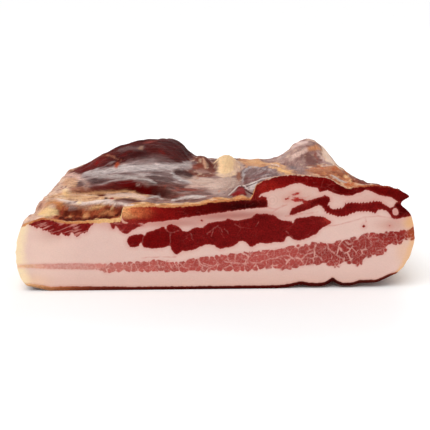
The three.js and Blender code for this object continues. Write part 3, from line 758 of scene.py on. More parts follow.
        (1.3, 0.85, -0.5, (114, 72, 66), [(86, 42)], [(89, 34), (92, 30)]),
        (0.9, 0.8, -0.4, (140, 80, 66), [(72, 20)]),
        (1.0, 0.8, 0.2, (194, 178, 172), [(75, 18), (80, 16), (84, 13)]),
        (1.1, 0.9, 0.3, (226, 174, 126), [(86, 29)], [(88, 18)]),
        (2.2, 0.85, -0.3, (116, 70, 62), [(92, 40), (96, 34), (99, 28)]),
        (1.2, 0.85, 0.5, (192, 104, 58), [(82, 46)], [(88, 44)]),
        (0.9, 0.95, 0.3, (182, 94, 52), [(82, 7), (86, 8), (89, 5)]),
    ],
}
# The thin lines that the torn flap's edge and creases make by the step: x and y, half width, strength,
# colour. The dark lines are painted shade in the creases beside the flap's edge. Each lies over those before
# it.
FLAP_LINES = [
    ([(17, 36), (21, 30), (26, 9)], 0.3, 0.85, (70, 28, 26)),
    ([(9, 17), (13, 28), (16, 41), (20, 37), (26, 12), (30, 13), (35, 6)], 0.32, 0.72, (214, 192, 184)),
    ([(18, 40), (20, 18), (24, 0)], 0.4, 0.95, (74, 20, 18)),
    ([(19.5, 40), (21.5, 19), (24.6, 4)], 0.32, 0.75, (218, 196, 190)),
]
KNOB = (9, 112)  # x and y of the smooth knob of fat
KNOB_SQUEEZE = 0.4  # the knob's length counts as this share of itself, so that it reads as round
TRIM_CREAM = (226, 180, 126)
TRIM_BROWN = (165, 80, 50)
# dark of the crags, also laid as painted shade in the recess behind the strip's rim
TRIM_DARK = (86, 24, 14)
TRIM_END = (-60, -56)  # x over which the trimmed strip ends
SHEET_END = (-69, -62)  # x over which the white sheet behind it ends
FASCIA = (228, 206, 196)
FASCIA_SHADE = (96, 46, 30)

# ---- the dried walls ----
DRIED_FAT = (228, 188, 150)
DRIED_FAT_LEFT = (236, 204, 172)
DRIED_FAT_STAIN = (188, 128, 88)
DRIED_LEAN = (112, 46, 36)
DRIED_LEAN_PALE = (146, 84, 64)
DRIED_LEAN_DARK = (82, 26, 20)
DRIED_STREAK = (150, 82, 60)
WALL_FOOT = (142, 78, 50)
RIND_SPAN = (-118, 112)  # x between which the rind's height holds at the walls' foot

# ---- sizes of the fine relief, mm ----
FLAP_THICKNESS = 0.9
FOLD_LIP = 2.4  # how far the upper layer hangs forward over the fold
CUT_NICKS = 0.35  # small ups and downs of the top's edge at the cut
CUT_WAVER = 0.25  # the same of the side edges
UNDER_TOP = (0.82, 1)  # share of the height over which the top's relief comes in
WALL_LUMPS = 0.55
WALL_CREASES = 0.7
WALL_GRIT = 0.16

# ---- what the materials' nodes draw ----
STREAK_FILLS = (-86.0, -64.0)  # x over which the streak turns from a thin blurred band to full cells
STREAK_SOLID = (112.0, 88.0)  # x over which its seams come back from the right end, which has the fewest
STREAK_CELL = 4.6  # mm across one red cell of the streak
CELL_FORM = (1.0, 0.85, 1.0)  # multiplies the place, so that the cells are taller than they are wide
BUNDLE = 8.5  # mm across one bundle of the dark lean
GRANULE = 2.1  # mm across one of the streak's fat granules
PIT_CELL = 3.4  # mm from one pit of the dried surface to the next
TOOTH = 1.9  # mm from one fibre end of the lean to the next
STRIPED_LEAN = (-54.0, -66.0)  # x over which the left lean gets its slanted pale stripes
DRIED_LEVEL = (40.0, 46.0)  # height above which the dried surface is the top, not a wall
RIGHT_FIBRES = (20.0, 2.0)  # x over which the fibres that run to the right give way to the left part's
FLAP_NEAR = (60.0, 45.0)  # y over which the flap's thin lines end
KNOB_DULL = (7.0, 12.0)  # mm from the knob's middle over which creases and flecks begin
TINTS = {
    "fat by lean": (204, 132, 122),
    "fat by streak": (212, 150, 140),
    "vein": (190, 104, 96),
    "granule": (214, 146, 136),
    "seam": (220, 168, 156),
    "bundle line": (180, 84, 78),
    "fleck": (180, 88, 80),
    "pale stripe": (212, 142, 130),
    "lean edge": (164, 48, 42),
    "white line": (192, 120, 111),
    "rim stain": (176, 88, 52),
    "fat by rind": (190, 120, 96),
    # whitening of the fibres' crests: bloom, and painted sheen on them
    "bloom_and_sheen": (206, 192, 190),
    "greasy stain": (146, 72, 44),
    "pit": (86, 36, 28),
    "rind dark": (96, 44, 31),
    "rind light": (150, 84, 52),
    "rind scuff": (190, 132, 88),
    "rind pore": (62, 26, 20),
}
FLESH_REACH = (1.0, 0.35, 0.2)  # how far red, green and blue go under the surface, one against another
FLESH_DEPTH = 0.002  # m


# ---- colours and depths at given points ----
def stained(colour, x, z, patches):
    """The colour with soft-edged patches of other colours laid over it."""
    for cx, cz, reach_x, reach_z, rgb, strength in patches:
        mask = strength * bell(np.hypot((x - cx) / reach_x, (z - cz) / reach_z), 2.4)
        colour = tinted(colour, rgb, mask)
    return colour


def mix_patches(x, z, base, patches):
    """One colour with its patches, for points at x, z."""
    return stained(plain(base, x), x, z, patches)


def fat_colour(x, z, s):
    """Colour of the fat on the cut, dried and yellow near its two ends."""
    colour = mix_patches(x, z, FAT, FAT_PATCHES)
    width = RIGHT_WALL[0][1] - LEFT_WALL[0][1] + LEFT_BULGE + RIGHT_BULGE
    for side, reach, rgb in DRY_EDGES:
        inward = width * (s if side == "left" else 1 - s) + layer(on_plane(x, z), "dry edge")
        colour = tinted(colour, rgb, ramp(reach, 0.2 * reach, inward))
    return stained(colour, x, z, EDGE_STAINS)


def along_edge(x, table):
    """Thickness and colour of an edge layer, read along x from its table."""
    at = [row[0] for row in table]
    thick = np.interp(x, at, [row[1] for row in table])
    colours = np.array([linear(row[2]) for row in table])
    return thick, np.stack([np.interp(x, at, colours[:, k]) for k in range(3)], axis=1)


def lean_depth(x, z):
    """Distance inside the dark lean, in mm, with its smears and spots, and less the fat nodule in it."""
    depth = np.max([signed_distance(x, z, outline) for outline in MUSCLES], axis=0)
    for line, half in SMEARS:
        depth = np.maximum(depth, half - distance_to_line(np.stack([x, z], axis=1), line)[0])
    nodule_x, nodule_z, radius, squeeze = NODULE
    depth = np.minimum(depth, np.hypot(x - nodule_x, (z - nodule_z) * squeeze) - radius)
    for spot_x, spot_z, size in BLOOD_SPOTS:
        depth = np.maximum(depth, size - np.hypot(x - spot_x, z - spot_z))
    return depth


def drape(y, z):
    """A length along the top that keeps growing where the top is steep, for patterns to lie on."""
    return y + DRAPE * (z - DRAPE_LEVEL)


def top_grain(x, y, z):
    """Coordinates across and along the muscle fibres that show on the top."""
    turned = ramp(4, 22, x)  # the fibres run across the slab at the left and along it at the right
    run = drape(y, z)
    sweep = 26 * ramp(-62, -4, x) + 6 * np.sin(x / 19)
    across_left, along_left = run + sweep, x
    across_right, along_right = x * 1.15 + 4 * np.sin(run / 23), run
    return (across_left + (across_right - across_left) * turned,
            along_left + (along_right - along_left) * turned)


def seen_place(x, y, z):
    """Across, up and faintly deep, as the slab looks from the front: what strokes are measured in."""
    return np.stack([x, y * math.sin(SIGHT) + z * math.cos(SIGHT), DEEP * y], axis=1)


def stroke_masks(x, y, z):
    """Colour, lift and share of every stroke of the top, at points of it."""
    spot = on_plane(x, drape(y, z))
    here = seen_place(x + layer(spot, "stroke shift x"), y, z + layer(spot, "stroke shift z"))
    fibres = on_plane(*top_grain(x, y, z)[::-1])
    fray = layer(fibres, "stroke fray along fibres") + layer(spot, "stroke fray")
    for half, strength, lift, rgb, *lines in (stroke for area in STROKES.values() for stroke in area):
        soft = min(0.4 + 0.5 * half, 1.6)
        for line in lines:
            line_x, line_y = np.array(line, float).T
            gap, share = distance_to_line(here, seen_place(line_x, line_y, top_height(line_x, line_y)))
            width = half * (0.45 + 0.65 * np.sqrt(np.sin(np.pi * share)))  # tapers to both ends
            yield rgb, lift, strength * ramp(-soft, soft, width - gap + soft * fray)


def top_colour(x, y, z):
    """Colour of the dried top, linear, with how fibrous and how crusty it is, from 0 to 1."""
    spot, seen = on_plane(x, drape(y, z)), seen_place(x, y, z)
    warp_x, warp_y = x + layer(spot, "patch shift x"), y + layer(spot, "patch shift y")
    fibres = on_plane(*top_grain(x, y, z)[::-1])
    streak, feather = layer(fibres, "muscle streaks"), layer(fibres, "feathered edges")
    fleck, blots, crumbs = layer(spot, "flecks"), layer(seen, "blots"), layer(seen, "crumbs")
    colour = tinted(plain(GREY_LEAN, x), DULL_LEAN, ramp(0, 0.7, streak))
    muscle, crusty = np.full(len(x), 0.4), np.zeros(len(x))
    for name, outline, soft, ragged, rgb, second, share in TOP_PATCHES:
        depth = signed_distance(warp_x, warp_y, outline) + ragged * rough(spot, 5, 41 + len(outline))
        depth = depth + 1.3 * soft * feather
        lines = ramp(-0.2, 0.4, (blots if name in BLOTCHY else streak) + 0.5 * fleck + (share - 0.5))
        patch = tinted(plain(rgb, x), second, 0.85 * lines * share * 1.4)
        if name in BLOTCHY:
            patch = tinted(patch, PALE_CRUMB, 0.5 * ramp(0.08, 0.4, -crumbs))
            patch = tinted(patch, DARK_CRUMB, 0.45 * ramp(0.14, 0.45, crumbs))
        mask = ramp(-1.2 * soft, 1.2 * soft, depth)
        colour = between(colour, patch, mask)
        muscle = muscle + ((name in FIBROUS) - muscle) * mask
        crusty = crusty + (0.6 * (name in CRUSTY) - crusty) * mask
    colour, muscle, crust = paint_trim(colour, muscle, x, y, seen)
    for rgb, _, share in stroke_masks(x, y, z):
        colour = tinted(colour, rgb, share)
    return colour, muscle, np.maximum(crust, crusty)


def paint_trim(colour, muscle, x, y, seen):
    """The trimmed strip at the left front, and the white sheet and dark line behind it."""
    past = y - through_knots(TRIM_LINE, x)
    grain, crags = layer(seen, "trim grain"), layer(seen, "trim crags")
    there = (1 - ramp(*TRIM_END, x)) * ramp(-108, -100, x + 5 * grain)
    # TRIM_DARK here is the crags' own dark colour, and painted shade in the recess just behind the cream rim
    strip = tinted(plain(TRIM_BROWN, x), TRIM_DARK, ramp(-0.05, 0.4, crags + 0.35 * bell((y - 5) / 3.5, 2)))
    strip = tinted(strip, TRIM_CREAM, 0.85 * ramp(0.25, 0.6, -grain))
    strip = tinted(strip, TRIM_CREAM, 0.9 * (1 - ramp(0.2, 1.6, y + 1.5 * grain)))
    crust = there * (1 - ramp(6.0, 8.5, past + 1.5 * grain))
    colour = between(colour, strip, crust)
    shade = bell((past - 7.6) / 1.1, 2) * (1 - ramp(-66, -60, x)) * ramp(-100, -88, x)
    colour = tinted(colour, FASCIA_SHADE, 0.7 * shade)
    sheet = ramp(8.2, 9.2, past) * (1 - ramp(11.5, 15.5, past + grain))
    sheet = sheet * (1 - ramp(*SHEET_END, x)) * ramp(-112, -96, x)
    return tinted(colour, FASCIA, 0.85 * sheet), muscle * (1 - np.maximum(crust, sheet)), crust


def wall_colour(x, y, z, s, t):
    """Colour of the dried walls and back: the streaks of the cut run on through the slab."""
    front = place_in_slab(s, t, np.zeros_like(s))
    drift = np.stack([x, y, z], axis=1)
    wander = ramp(4, 60, y)
    fx = front[:, 0] + wander * layer(drift, "wall shift x")
    fz = front[:, 2] + (1 + 4 * wander) * layer(drift, "wall shift z")
    dark = lean_depth(fx, fz) + layer(drift, "wall lean edge")
    mixed = signed_distance(fx, fz, STREAK) + layer(drift, "wall streak edge")
    fat = tinted(plain(DRIED_FAT, x), DRIED_FAT_LEFT, ramp(60, -110, x) * (0.5 + layer(drift, "wall light")))
    fat = tinted(fat, DRIED_FAT_STAIN, 0.5 * ramp(0.1, 0.7, layer(drift, "wall tan")))
    worn = layer(drift, "wall worn")
    meat = tinted(plain(DRIED_LEAN, x), DRIED_LEAN_PALE, ramp(0, 0.8, worn))
    meat = tinted(meat, DRIED_LEAN_DARK, 0.8 * ramp(0.1, 0.8, -worn))
    colour = tinted(fat, DRIED_STREAK, (0.7 + 0.25 * worn) * ramp(-0.9, 1.1, mixed + 0.8 * worn))
    colour = between(colour, meat, 0.92 * ramp(-0.9, 1.1, dark + 0.9 * worn))
    low = z - rind_height(np.clip(x, *RIND_SPAN), y)
    return tinted(colour, WALL_FOOT, (1 - ramp(0.6, 3.4, low + layer(drift, "wall rind edge"))) * 0.85)


# ---- fine relief ----
def top_relief(x, y):
    """Fine relief of the top, in mm, on the form that the solid has."""
    spot, seen = on_plane(x, y), seen_place(x, y, top_height(x, y))
    across, along = top_grain(x, y, DRAPE_LEVEL)
    past = y - through_knots(TRIM_LINE, x)
    calm = (1 - ramp(-56, -46, x)) * (1 - ramp(13, 18, past))
    fibres = layer(on_plane(along, across), "top fibres") * (1 - calm)
    height = layer(spot, "top lumps") + fibres + layer(spot, "top grit")
    height = height + ramp(56, 70, x) * ramp(60, 40, y) * layer(spot, "crusty lumps")
    strip = (1 - ramp(*TRIM_END, x)) * (1 - ramp(6, 9, past))
    height = height + strip * (layer(seen, "strip crags") + layer(seen, "strip grit"))
    sheet = ramp(8.0, 9.4, past) * (1 - ramp(12, 17, past)) * (1 - ramp(*SHEET_END, x))
    height = height + 0.35 * sheet - 0.5 * bell((past - 7) / 1.2, 2) * (1 - ramp(-58, -50, x))
    behind, ends = behind_fold(x, y)
    height = height - 1.5 * ends * bell((behind + 3.4) / 3.2, 2.4) + 0.5 * ends * bell((behind - 2.5) / 2, 2)
    for _, lift, share in stroke_masks(x, y, top_height(x, y)):
        height = height + lift * share
    flap = signed_distance(x, y, next(patch[1] for patch in TOP_PATCHES if patch[0] == "loose flap"))
    height = height + FLAP_THICKNESS * ramp(-0.8, 0.8, flap)
    return height * ramp(-0.5, 3.0, y) + CUT_NICKS * noise(spot, (2.3, 9, 1), 74) * bell(y / 2.5, 2)


def wall_relief(x, y, z, seed):
    """Fine relief of the walls and the back end: long dried creases and small lumps."""
    spot = np.stack([x, y, z], axis=1)
    creases = np.abs(rough(spot, (15, 22, 6), seed))
    return (WALL_LUMPS * rough(spot, (12, 16, 8), seed + 1) - WALL_CREASES * bell(creases / 0.1, 1.4)
            + WALL_GRIT * rough(spot, 2.6, seed + 2, 2))


def dressed_place(s, t, v):
    """The place of a surface point with its fine relief."""
    place = place_in_slab(s, t, v)
    x, y, z = place.T.copy()
    place[:, 2] += ramp(*UNDER_TOP, t) * top_relief(x, y)
    behind, ends = behind_fold(x, y)
    place[:, 1] -= FOLD_LIP * ends * bell((behind - 1.4) / 2.4, 2) * ramp(0.9, 1, t)
    inner = ramp(0, 0.05, t) * ramp(0.5, 7, y)
    edge = CUT_WAVER * noise(np.stack([x, y, z], axis=1), (9, 9, 2.2), 83)
    for outward_x, there, seed in ((-1, ramp(0.05, 0, s), 84), (1, ramp(0.95, 1, s), 88)):
        relief = inner * wall_relief(x, y, z, seed) + edge * (1 - inner)
        place[:, 0] += outward_x * there * relief
    place[:, 1] += ramp(0.93, 1, v) * wall_relief(x, y, z, 92) * ramp(0, 0.05, t)
    place[:, 1] = np.where(v == 0, 0.0, place[:, 1])
    place[:, 2] = np.maximum(place[:, 2], 0)
    return place


# ---- mesh ----
def crowd_ends(u, share):
    """Moves evenly spaced numbers from 0 to 1 closer together near both ends."""
    return u + (0.5 - 0.5 * np.cos(np.pi * u) - u) * share


def crowd_rows(u):
    """Moves evenly spaced numbers from 0 to 1 closer together where the top folds."""
    length = DEPTH - BACK_ROUNDING + BACK_ROUNDING * np.pi / 2
    v = np.linspace(0, 1, 400)
    share = 1 + sum(extra * bell((v * length - y) / reach, 3) for y, reach, extra in ROW_CROWD)
    passed = np.concatenate([[0], np.cumsum((share[1:] + share[:-1]) / 2)])
    return np.interp(u, passed / passed[-1], v)


def grid_points():
    """Unit-box coordinates of every point on the slab's surface, and a table of their numbers."""
    number = np.full((COLUMNS + 1, LAYERS + 1, ROWS + 1), -1)
    i, k, j = np.indices(number.shape)
    full = (i == 0) | (i == COLUMNS) | (k == LAYERS) | (j == 0)
    back = (j == ROWS) & ((k == 0) | ((i % 2 == 0) & (k % 2 == 0)))
    under = (k == 0) & (i % COARSE == 0) & (j % COARSE == 0)
    used = full | back | under
    number[used] = np.arange(np.count_nonzero(used))
    i, k, j = i[used], k[used], j[used]
    s = crowd_ends(i / COLUMNS, CROWD_ACROSS)
    t = crowd_ends(k / LAYERS, CROWD_UP)
    v = crowd_rows(j / ROWS)
    return s, t, v, number


def squares(numbers):
    """Triangles of a full sheet of numbered points, each square cut once."""
    a, b, c, d = numbers[:-1, :-1], numbers[1:, :-1], numbers[1:, 1:], numbers[:-1, 1:]
    halves = np.stack([np.stack([a, b, c], -1), np.stack([a, c, d], -1)])
    return halves.reshape(-1, 3)


def thinned(numbers):
    """Triangles of a sheet that has a full border but only some points inside."""
    rows, columns = np.nonzero(numbers >= 0)
    points = [Vector((float(r), float(c))) for r, c in zip(rows, columns)]
    triangles = delaunay_2d_cdt(points, [], [], 0, 1e-6)[2]
    named = numbers[rows, columns]
    return named[np.array([triangle for triangle in triangles if len(triangle) == 3])]


def outward(triangles, corners, direction):
    """The triangles with each one's front turned towards a direction, as most of the sheet faces."""
    a, b, c = (corners[triangles[:, n]] for n in range(3))
    facing = np.cross(b - a, c - a) @ np.array(direction, float)
    return triangles if facing.sum() > 0 else triangles[:, ::-1]


def slab_sheets(number, corners):
    """The six sides of the slab as triangles, by name."""
    return {
        "top": outward(squares(number[:, LAYERS, :]), corners, (0, 0, 1)),
        "cut": outward(squares(number[:, :, 0]), corners, (0, -1, 0)),
        "left": outward(squares(number[0, :, :]), corners, (-1, 0, 0)),
        "right": outward(squares(number[COLUMNS, :, :]), corners, (1, 0, 0)),
        "back": outward(thinned(number[:, :, ROWS]), corners, (0, 1, 0)),
        "rind": outward(thinned(number[:, 0, :]), corners, (0, 0, -1)),
    }


def store(mesh, name, values, kind, domain="POINT"):
    """Stores a row of values for each of the mesh's points or corners."""
    field = {"FLOAT": "value", "FLOAT_VECTOR": "vector", "FLOAT_COLOR": "color"}[kind]
    mesh.attributes.new(name, kind, domain).data.foreach_set(field, values.astype(np.float32).ravel())


def cut_attributes(x, z, s):
    """What the cut face's material reads, for points at x, z of the cut."""
    flank = ramp(60, 72, x) * ramp(44, 50, z) * (1 - ramp(58, 61, z)) * (1 - ramp(102, 107, x))
    corner = ramp(-70, -78, x) * ramp(32, 38, z)
    spot = on_plane(x, z)
    ragged_x, ragged_z = x + layer(spot, "cut lean x"), z + layer(spot, "cut lean z")
    rim, rim_rgb = along_edge(x + layer(spot, "cut rim"), RIM)
    edge, edge_rgb = along_edge(x + layer(spot, "cut rind"), RIND_EDGE)
    return {
        "lean": lean_depth(x, z),
        "streak": np.maximum(signed_distance(x, z, STREAK), signed_distance(x, z, STREAK_SCRAP)),
        "comb": np.maximum(flank, 0.7 * corner),
        "rim": rim - (top_height(x, 0 * x) - z),
        "rind": edge - (z - np.maximum(rind_height(x, 0 * x), 0)),
        "fat_rgb": fat_colour(x, z, s),
        "lean_rgb": mix_patches(ragged_x, ragged_z, LEAN, LEAN_PATCHES),
        "streak_rgb": mix_patches(x, z, STREAK_LEAN, STREAK_PATCHES),
        "rim_rgb": rim_rgb,
        "rind_rgb": edge_rgb,
    }


def crust_attributes(x, y, z, s, t, v):
    """What the dried surface's material reads, for points of the top, the walls and the back."""
    top = ramp(0.6, 0.97, t) * (1 - ramp(0.9, 1, v))
    above, muscle, crust = top_colour(x, y, z)
    return {
        "surface_rgb": between(wall_colour(x, y, z, s, t), above, top),
        "muscle": muscle * top,
        "crust": crust * top,
    }


def add_attributes(mesh, here, attributes):
    """Stores values for the points picked out by here; the others keep zero."""
    for name, values in attributes.items():
        everywhere = np.zeros((len(here),) + values.shape[1:])
        everywhere[here] = values
        if values.ndim == 2:
            store(mesh, name, np.pad(everywhere, ((0, 0), (0, 1)), constant_values=1), "FLOAT_COLOR")
        else:
            store(mesh, name, everywhere, "FLOAT")


def grain_of(side, x, y, z):
    """Where a point lies across and along the fibres of its side, in mm."""
    if side == "top":
        across, along = top_grain(x, y, z)
    elif side in ("left", "right"):
        across, along = z + 2 * np.sin(y / 17), y
    elif side == "rind":
        across, along = y, x
    else:
        across, along = z + 2 * np.sin(x / 21), x
    return on_plane(across, along)


def put_in_scene(name, data):
    """A new object that shows this mesh, camera or lamp."""
    thing = bpy.data.objects.new(name, data)
    bpy.context.scene.collection.objects.link(thing)
    return thing


def make_slab():
    """The slab with its attributes and materials, and the shift that took it from the form to the frame."""
    s, t, v, number = grid_points()
    place = dressed_place(s, t, v)
    sheets = slab_sheets(number, place)
    triangles = np.concatenate(list(sheets.values()))
    side = np.repeat(np.arange(len(sheets)), [len(sheet) for sheet in sheets.values()])
    mesh = bpy.data.meshes.new("slab")
    shift = frame_shift(place)
    mesh.from_pydata(((place + shift) * MM).tolist(), [], triangles.tolist())
    x, y, z = place.T
    cut = v == 0
    add_attributes(mesh, cut, cut_attributes(x[cut], z[cut], s[cut]))
    crust = (t == 1) | (s == 0) | (s == 1) | (v == 1)
    add_attributes(mesh, crust, crust_attributes(*(a[crust] for a in (x, y, z, s, t, v))))
    grain = np.concatenate([grain_of(name, *place[sheet.ravel()].T) for name, sheet in sheets.items()])
    store(mesh, "grain", grain, "FLOAT_VECTOR", "CORNER")
    slab = put_in_scene("belly_slab_meat", mesh)
    for material in (dried_surface(shift), cut_face(shift), rind_skin()):
        mesh.materials.append(material)
    slots = np.array([{"cut": 1, "rind": 2}.get(name, 0) for name in sheets])
    mesh.polygons.foreach_set("material_index", slots[side].astype(np.int32))
    mesh.polygons.foreach_set("use_smooth", np.ones(len(triangles), bool))
    mesh.set_sharp_from_angle(angle=math.radians(SHARP_ANGLE))
    return slab, shift


def frame_shift(place):
    """From the form's own coordinates to the frame's: the cut face and the middle of the width match."""
    low, high = (np.array(corner) / MM for corner in CAD_BOX)
    middle = (place[:, 0].min() + place[:, 0].max()) / 2
    return np.array([(low[0] + high[0]) / 2 - middle, low[1], 0.0])


# ---- materials ----
class Graph:
    """Short ways to add and join the nodes of one material."""

    def __init__(self, name):
        self.material = bpy.data.materials.new(name)
        self.material.use_nodes = True
        self.tree = self.material.node_tree
        self.tree.nodes.clear()
        self.shader = self.add("ShaderNodeBsdfPrincipled")
        output = self.add("ShaderNodeOutputMaterial")
        self.tree.links.new(self.shader.outputs[0], output.inputs["Surface"])

    def add(self, kind, *values, **settings):
        node = self.tree.nodes.new(kind)
        for key, value in settings.items():
            setattr(node, key, value)
        for place, value in enumerate(values):
            self.put(value, node.inputs[place])
        return node

    def put(self, value, socket):
        if isinstance(value, bpy.types.NodeSocket):
            self.tree.links.new(value, socket)
        elif value is not None:
            socket.default_value = value

    def math(self, operation, *values):
        return self.add("ShaderNodeMath", *values, operation=operation).outputs[0]

    def total(self, *terms):
        return reduce(lambda a, b: self.math("ADD", a, b), terms)

    def times(self, *factors):
        return reduce(lambda a, b: self.math("MULTIPLY", a, b), factors)

    def least(self, values):
        return reduce(lambda a, b: self.math("MINIMUM", a, b), values)

    def by(self, value, slope, base):
        """A share that grows with a value: slope times it, and a base."""
        return self.total(self.times(value, slope), base)

    def stored(self, name, output="Fac"):
        """What the mesh holds for each point under this name."""
        return self.add("ShaderNodeAttribute", attribute_name=name).outputs[output]

    def vectors(self, operation, *values):
        """A vector worked out from others, or a number for a distance or a dot product."""
        outputs = self.add("ShaderNodeVectorMath", *values, operation=operation).outputs
        return outputs["Value" if operation in ("DISTANCE", "DOT_PRODUCT") else "Vector"]

    def scaled(self, vector, by):
        return self.vectors("SCALE", vector, None, None, by)

    def point(self, x, y, z=0.0):
        return self.add("ShaderNodeCombineXYZ", x, y, z).outputs[0]

    def parts(self, vector):
        return self.add("ShaderNodeSeparateXYZ", vector).outputs

    def place(self, shift):
        """Where a surface point lies in the form's own millimetres."""
        spot = self.add("ShaderNodeTexCoord").outputs["Object"]
        return self.vectors("SUBTRACT", self.scaled(spot, 1 / MM), tuple(shift))

    def texture(self, kind, vector, size, shape, **settings):
        """A texture's outputs, with lumps of this many mm and its other inputs set by name."""
        node = self.add(kind, **settings)
        self.put(vector, node.inputs["Vector"])
        for name, value in {"Scale": 1 / size, **shape}.items():
            node.inputs[name].default_value = value
        return node.outputs

    def noise(self, vector, size, detail=2.0, roughness=0.5):
        """Noise from about -1 to 1 with lumps of this many mm."""
        shape = {"Detail": detail, "Roughness": roughness}
        value = self.texture("ShaderNodeTexNoise", vector, size, shape)["Fac"]
        return self.math("MULTIPLY_ADD", value, 4.0, -2.0)

    def warp(self, vector, size, amount):
        """The place moved about by noise, so that a pattern read there looks grown."""
        random = self.texture("ShaderNodeTexNoise", vector, size, {"Detail": 1.0})["Color"]
        offset = self.point(*self.add("ShaderNodeSeparateColor", random).outputs)
        moved = self.vectors("MULTIPLY_ADD", offset, (2 * amount,) * 3, (-amount,) * 3)
        return self.vectors("ADD", vector, moved)

    def cells(self, vector, size, feature="DISTANCE_TO_EDGE"):
        return self.texture("ShaderNodeTexVoronoi", vector, size, {},
                            voronoi_dimensions="2D", feature=feature)

    def step(self, value, low, high):
        """0 below low, 1 above high; low may be the larger."""
        node = self.add("ShaderNodeMapRange", value, interpolation_type="SMOOTHSTEP", clamp=False)
        if low > high:
            low, high = high, low
            node.inputs["To Min"].default_value, node.inputs["To Max"].default_value = 1.0, 0.0
        node.inputs["From Min"].default_value, node.inputs["From Max"].default_value = low, high
        return node.outputs[0]

    def blend(self, factor, a, b):
        node = self.add("ShaderNodeMix", data_type="RGBA")
        self.put(factor, node.inputs["Factor"])
        for value, socket in ((a, node.inputs[6]), (b, node.inputs[7])):
            self.put(value if isinstance(value, bpy.types.NodeSocket) else srgb(value), socket)
        return node.outputs[2]

    def tint(self, factor, colour, name):
        return self.blend(factor, colour, TINTS[name])

    def mottle(self, colour, pattern, *shares):
        """The colour made brighter and darker by a pattern from -1 to 1, times its shares."""
        amount = self.times(pattern, *shares)
        node = self.add("ShaderNodeHueSaturation")
        self.put(self.math("ADD", amount, 1.0), node.inputs["Value"])
        self.put(colour, node.inputs["Color"])
        return node.outputs[0]

    def apart(self, vector, x, y):
        """Distance from a point of the plane."""
        return self.vectors("DISTANCE", vector, (x, y, 0))

    def straight(self, vector, start, end):
        """Distance from a straight line between two points of the plane."""
        (ax, ay), (bx, by) = start, end
        length = (bx - ax) ** 2 + (by - ay) ** 2
        way = self.vectors("SUBTRACT", vector, (ax, ay, 0))
        passed = self.vectors("DOT_PRODUCT", way, ((bx - ax) / length, (by - ay) / length, 0))
        passed = self.math("MAXIMUM", self.math("MINIMUM", passed, 1.0), 0.0)
        return self.vectors("DISTANCE", way, self.scaled((bx - ax, by - ay, 0), passed))

    def line(self, vector, points):
        return self.least(self.straight(vector, *ends) for ends in zip(points[:-1], points[1:]))

    def lines(self, vector, all_lines):
        return self.least(self.line(vector, points) for points in all_lines)

    def finish(self, colour, roughness, height, gloss, subsurface):
        """Joins colour, roughness and a bump height in mm to the shader."""
        bump = self.add("ShaderNodeBump")
        for name, value in (("Distance", MM), ("Strength", 1.0), ("Height", height)):
            self.put(value, bump.inputs[name])
        for name, value in (("Base Color", colour), ("Roughness", roughness), ("Normal", bump.outputs[0]),
                            ("Specular IOR Level", gloss), ("Subsurface Weight", subsurface),
                            ("Subsurface Radius", FLESH_REACH), ("Subsurface Scale", FLESH_DEPTH)):
            self.put(value, self.shader.inputs[name])
        return self.material


def srgb(rgb):
    return tuple(float(c) for c in linear(rgb)) + (1.0,)


def cut_fat(g, flat, coarse, lean_side):
    """Fat of the cut, with a pinker margin beside the lean, faint veins and a ringed nodule."""
    fat = g.mottle(g.stored("fat_rgb", "Color"), g.noise(flat, 9.0), 0.02)
    fat = g.mottle(fat, g.noise(flat, 0.9, 1.0), 0.03)
    margin = g.times(g.step(g.total(lean_side, g.times(coarse, 0.8)), -3.0, 0.4), 0.4)
    fat = g.tint(margin, fat, "fat by lean")
    fat = g.tint(g.times(g.step(g.stored("streak"), -1.8, 0.3), 0.3), fat, "fat by streak")
    bent = g.warp(flat, 7.0, 0.9)
    vein = g.times(g.step(g.lines(bent, VEINS), 0.8, 0.15), g.step(coarse, -1.4, 0.8), 0.45)
    fat = g.tint(vein, fat, "vein")
    out = g.apart(bent, *RINGED_NODULE)
    return g.mottle(fat, g.math("SINE", g.times(out, 3.4)), g.step(out, 4.4, 3.2), 0.05)


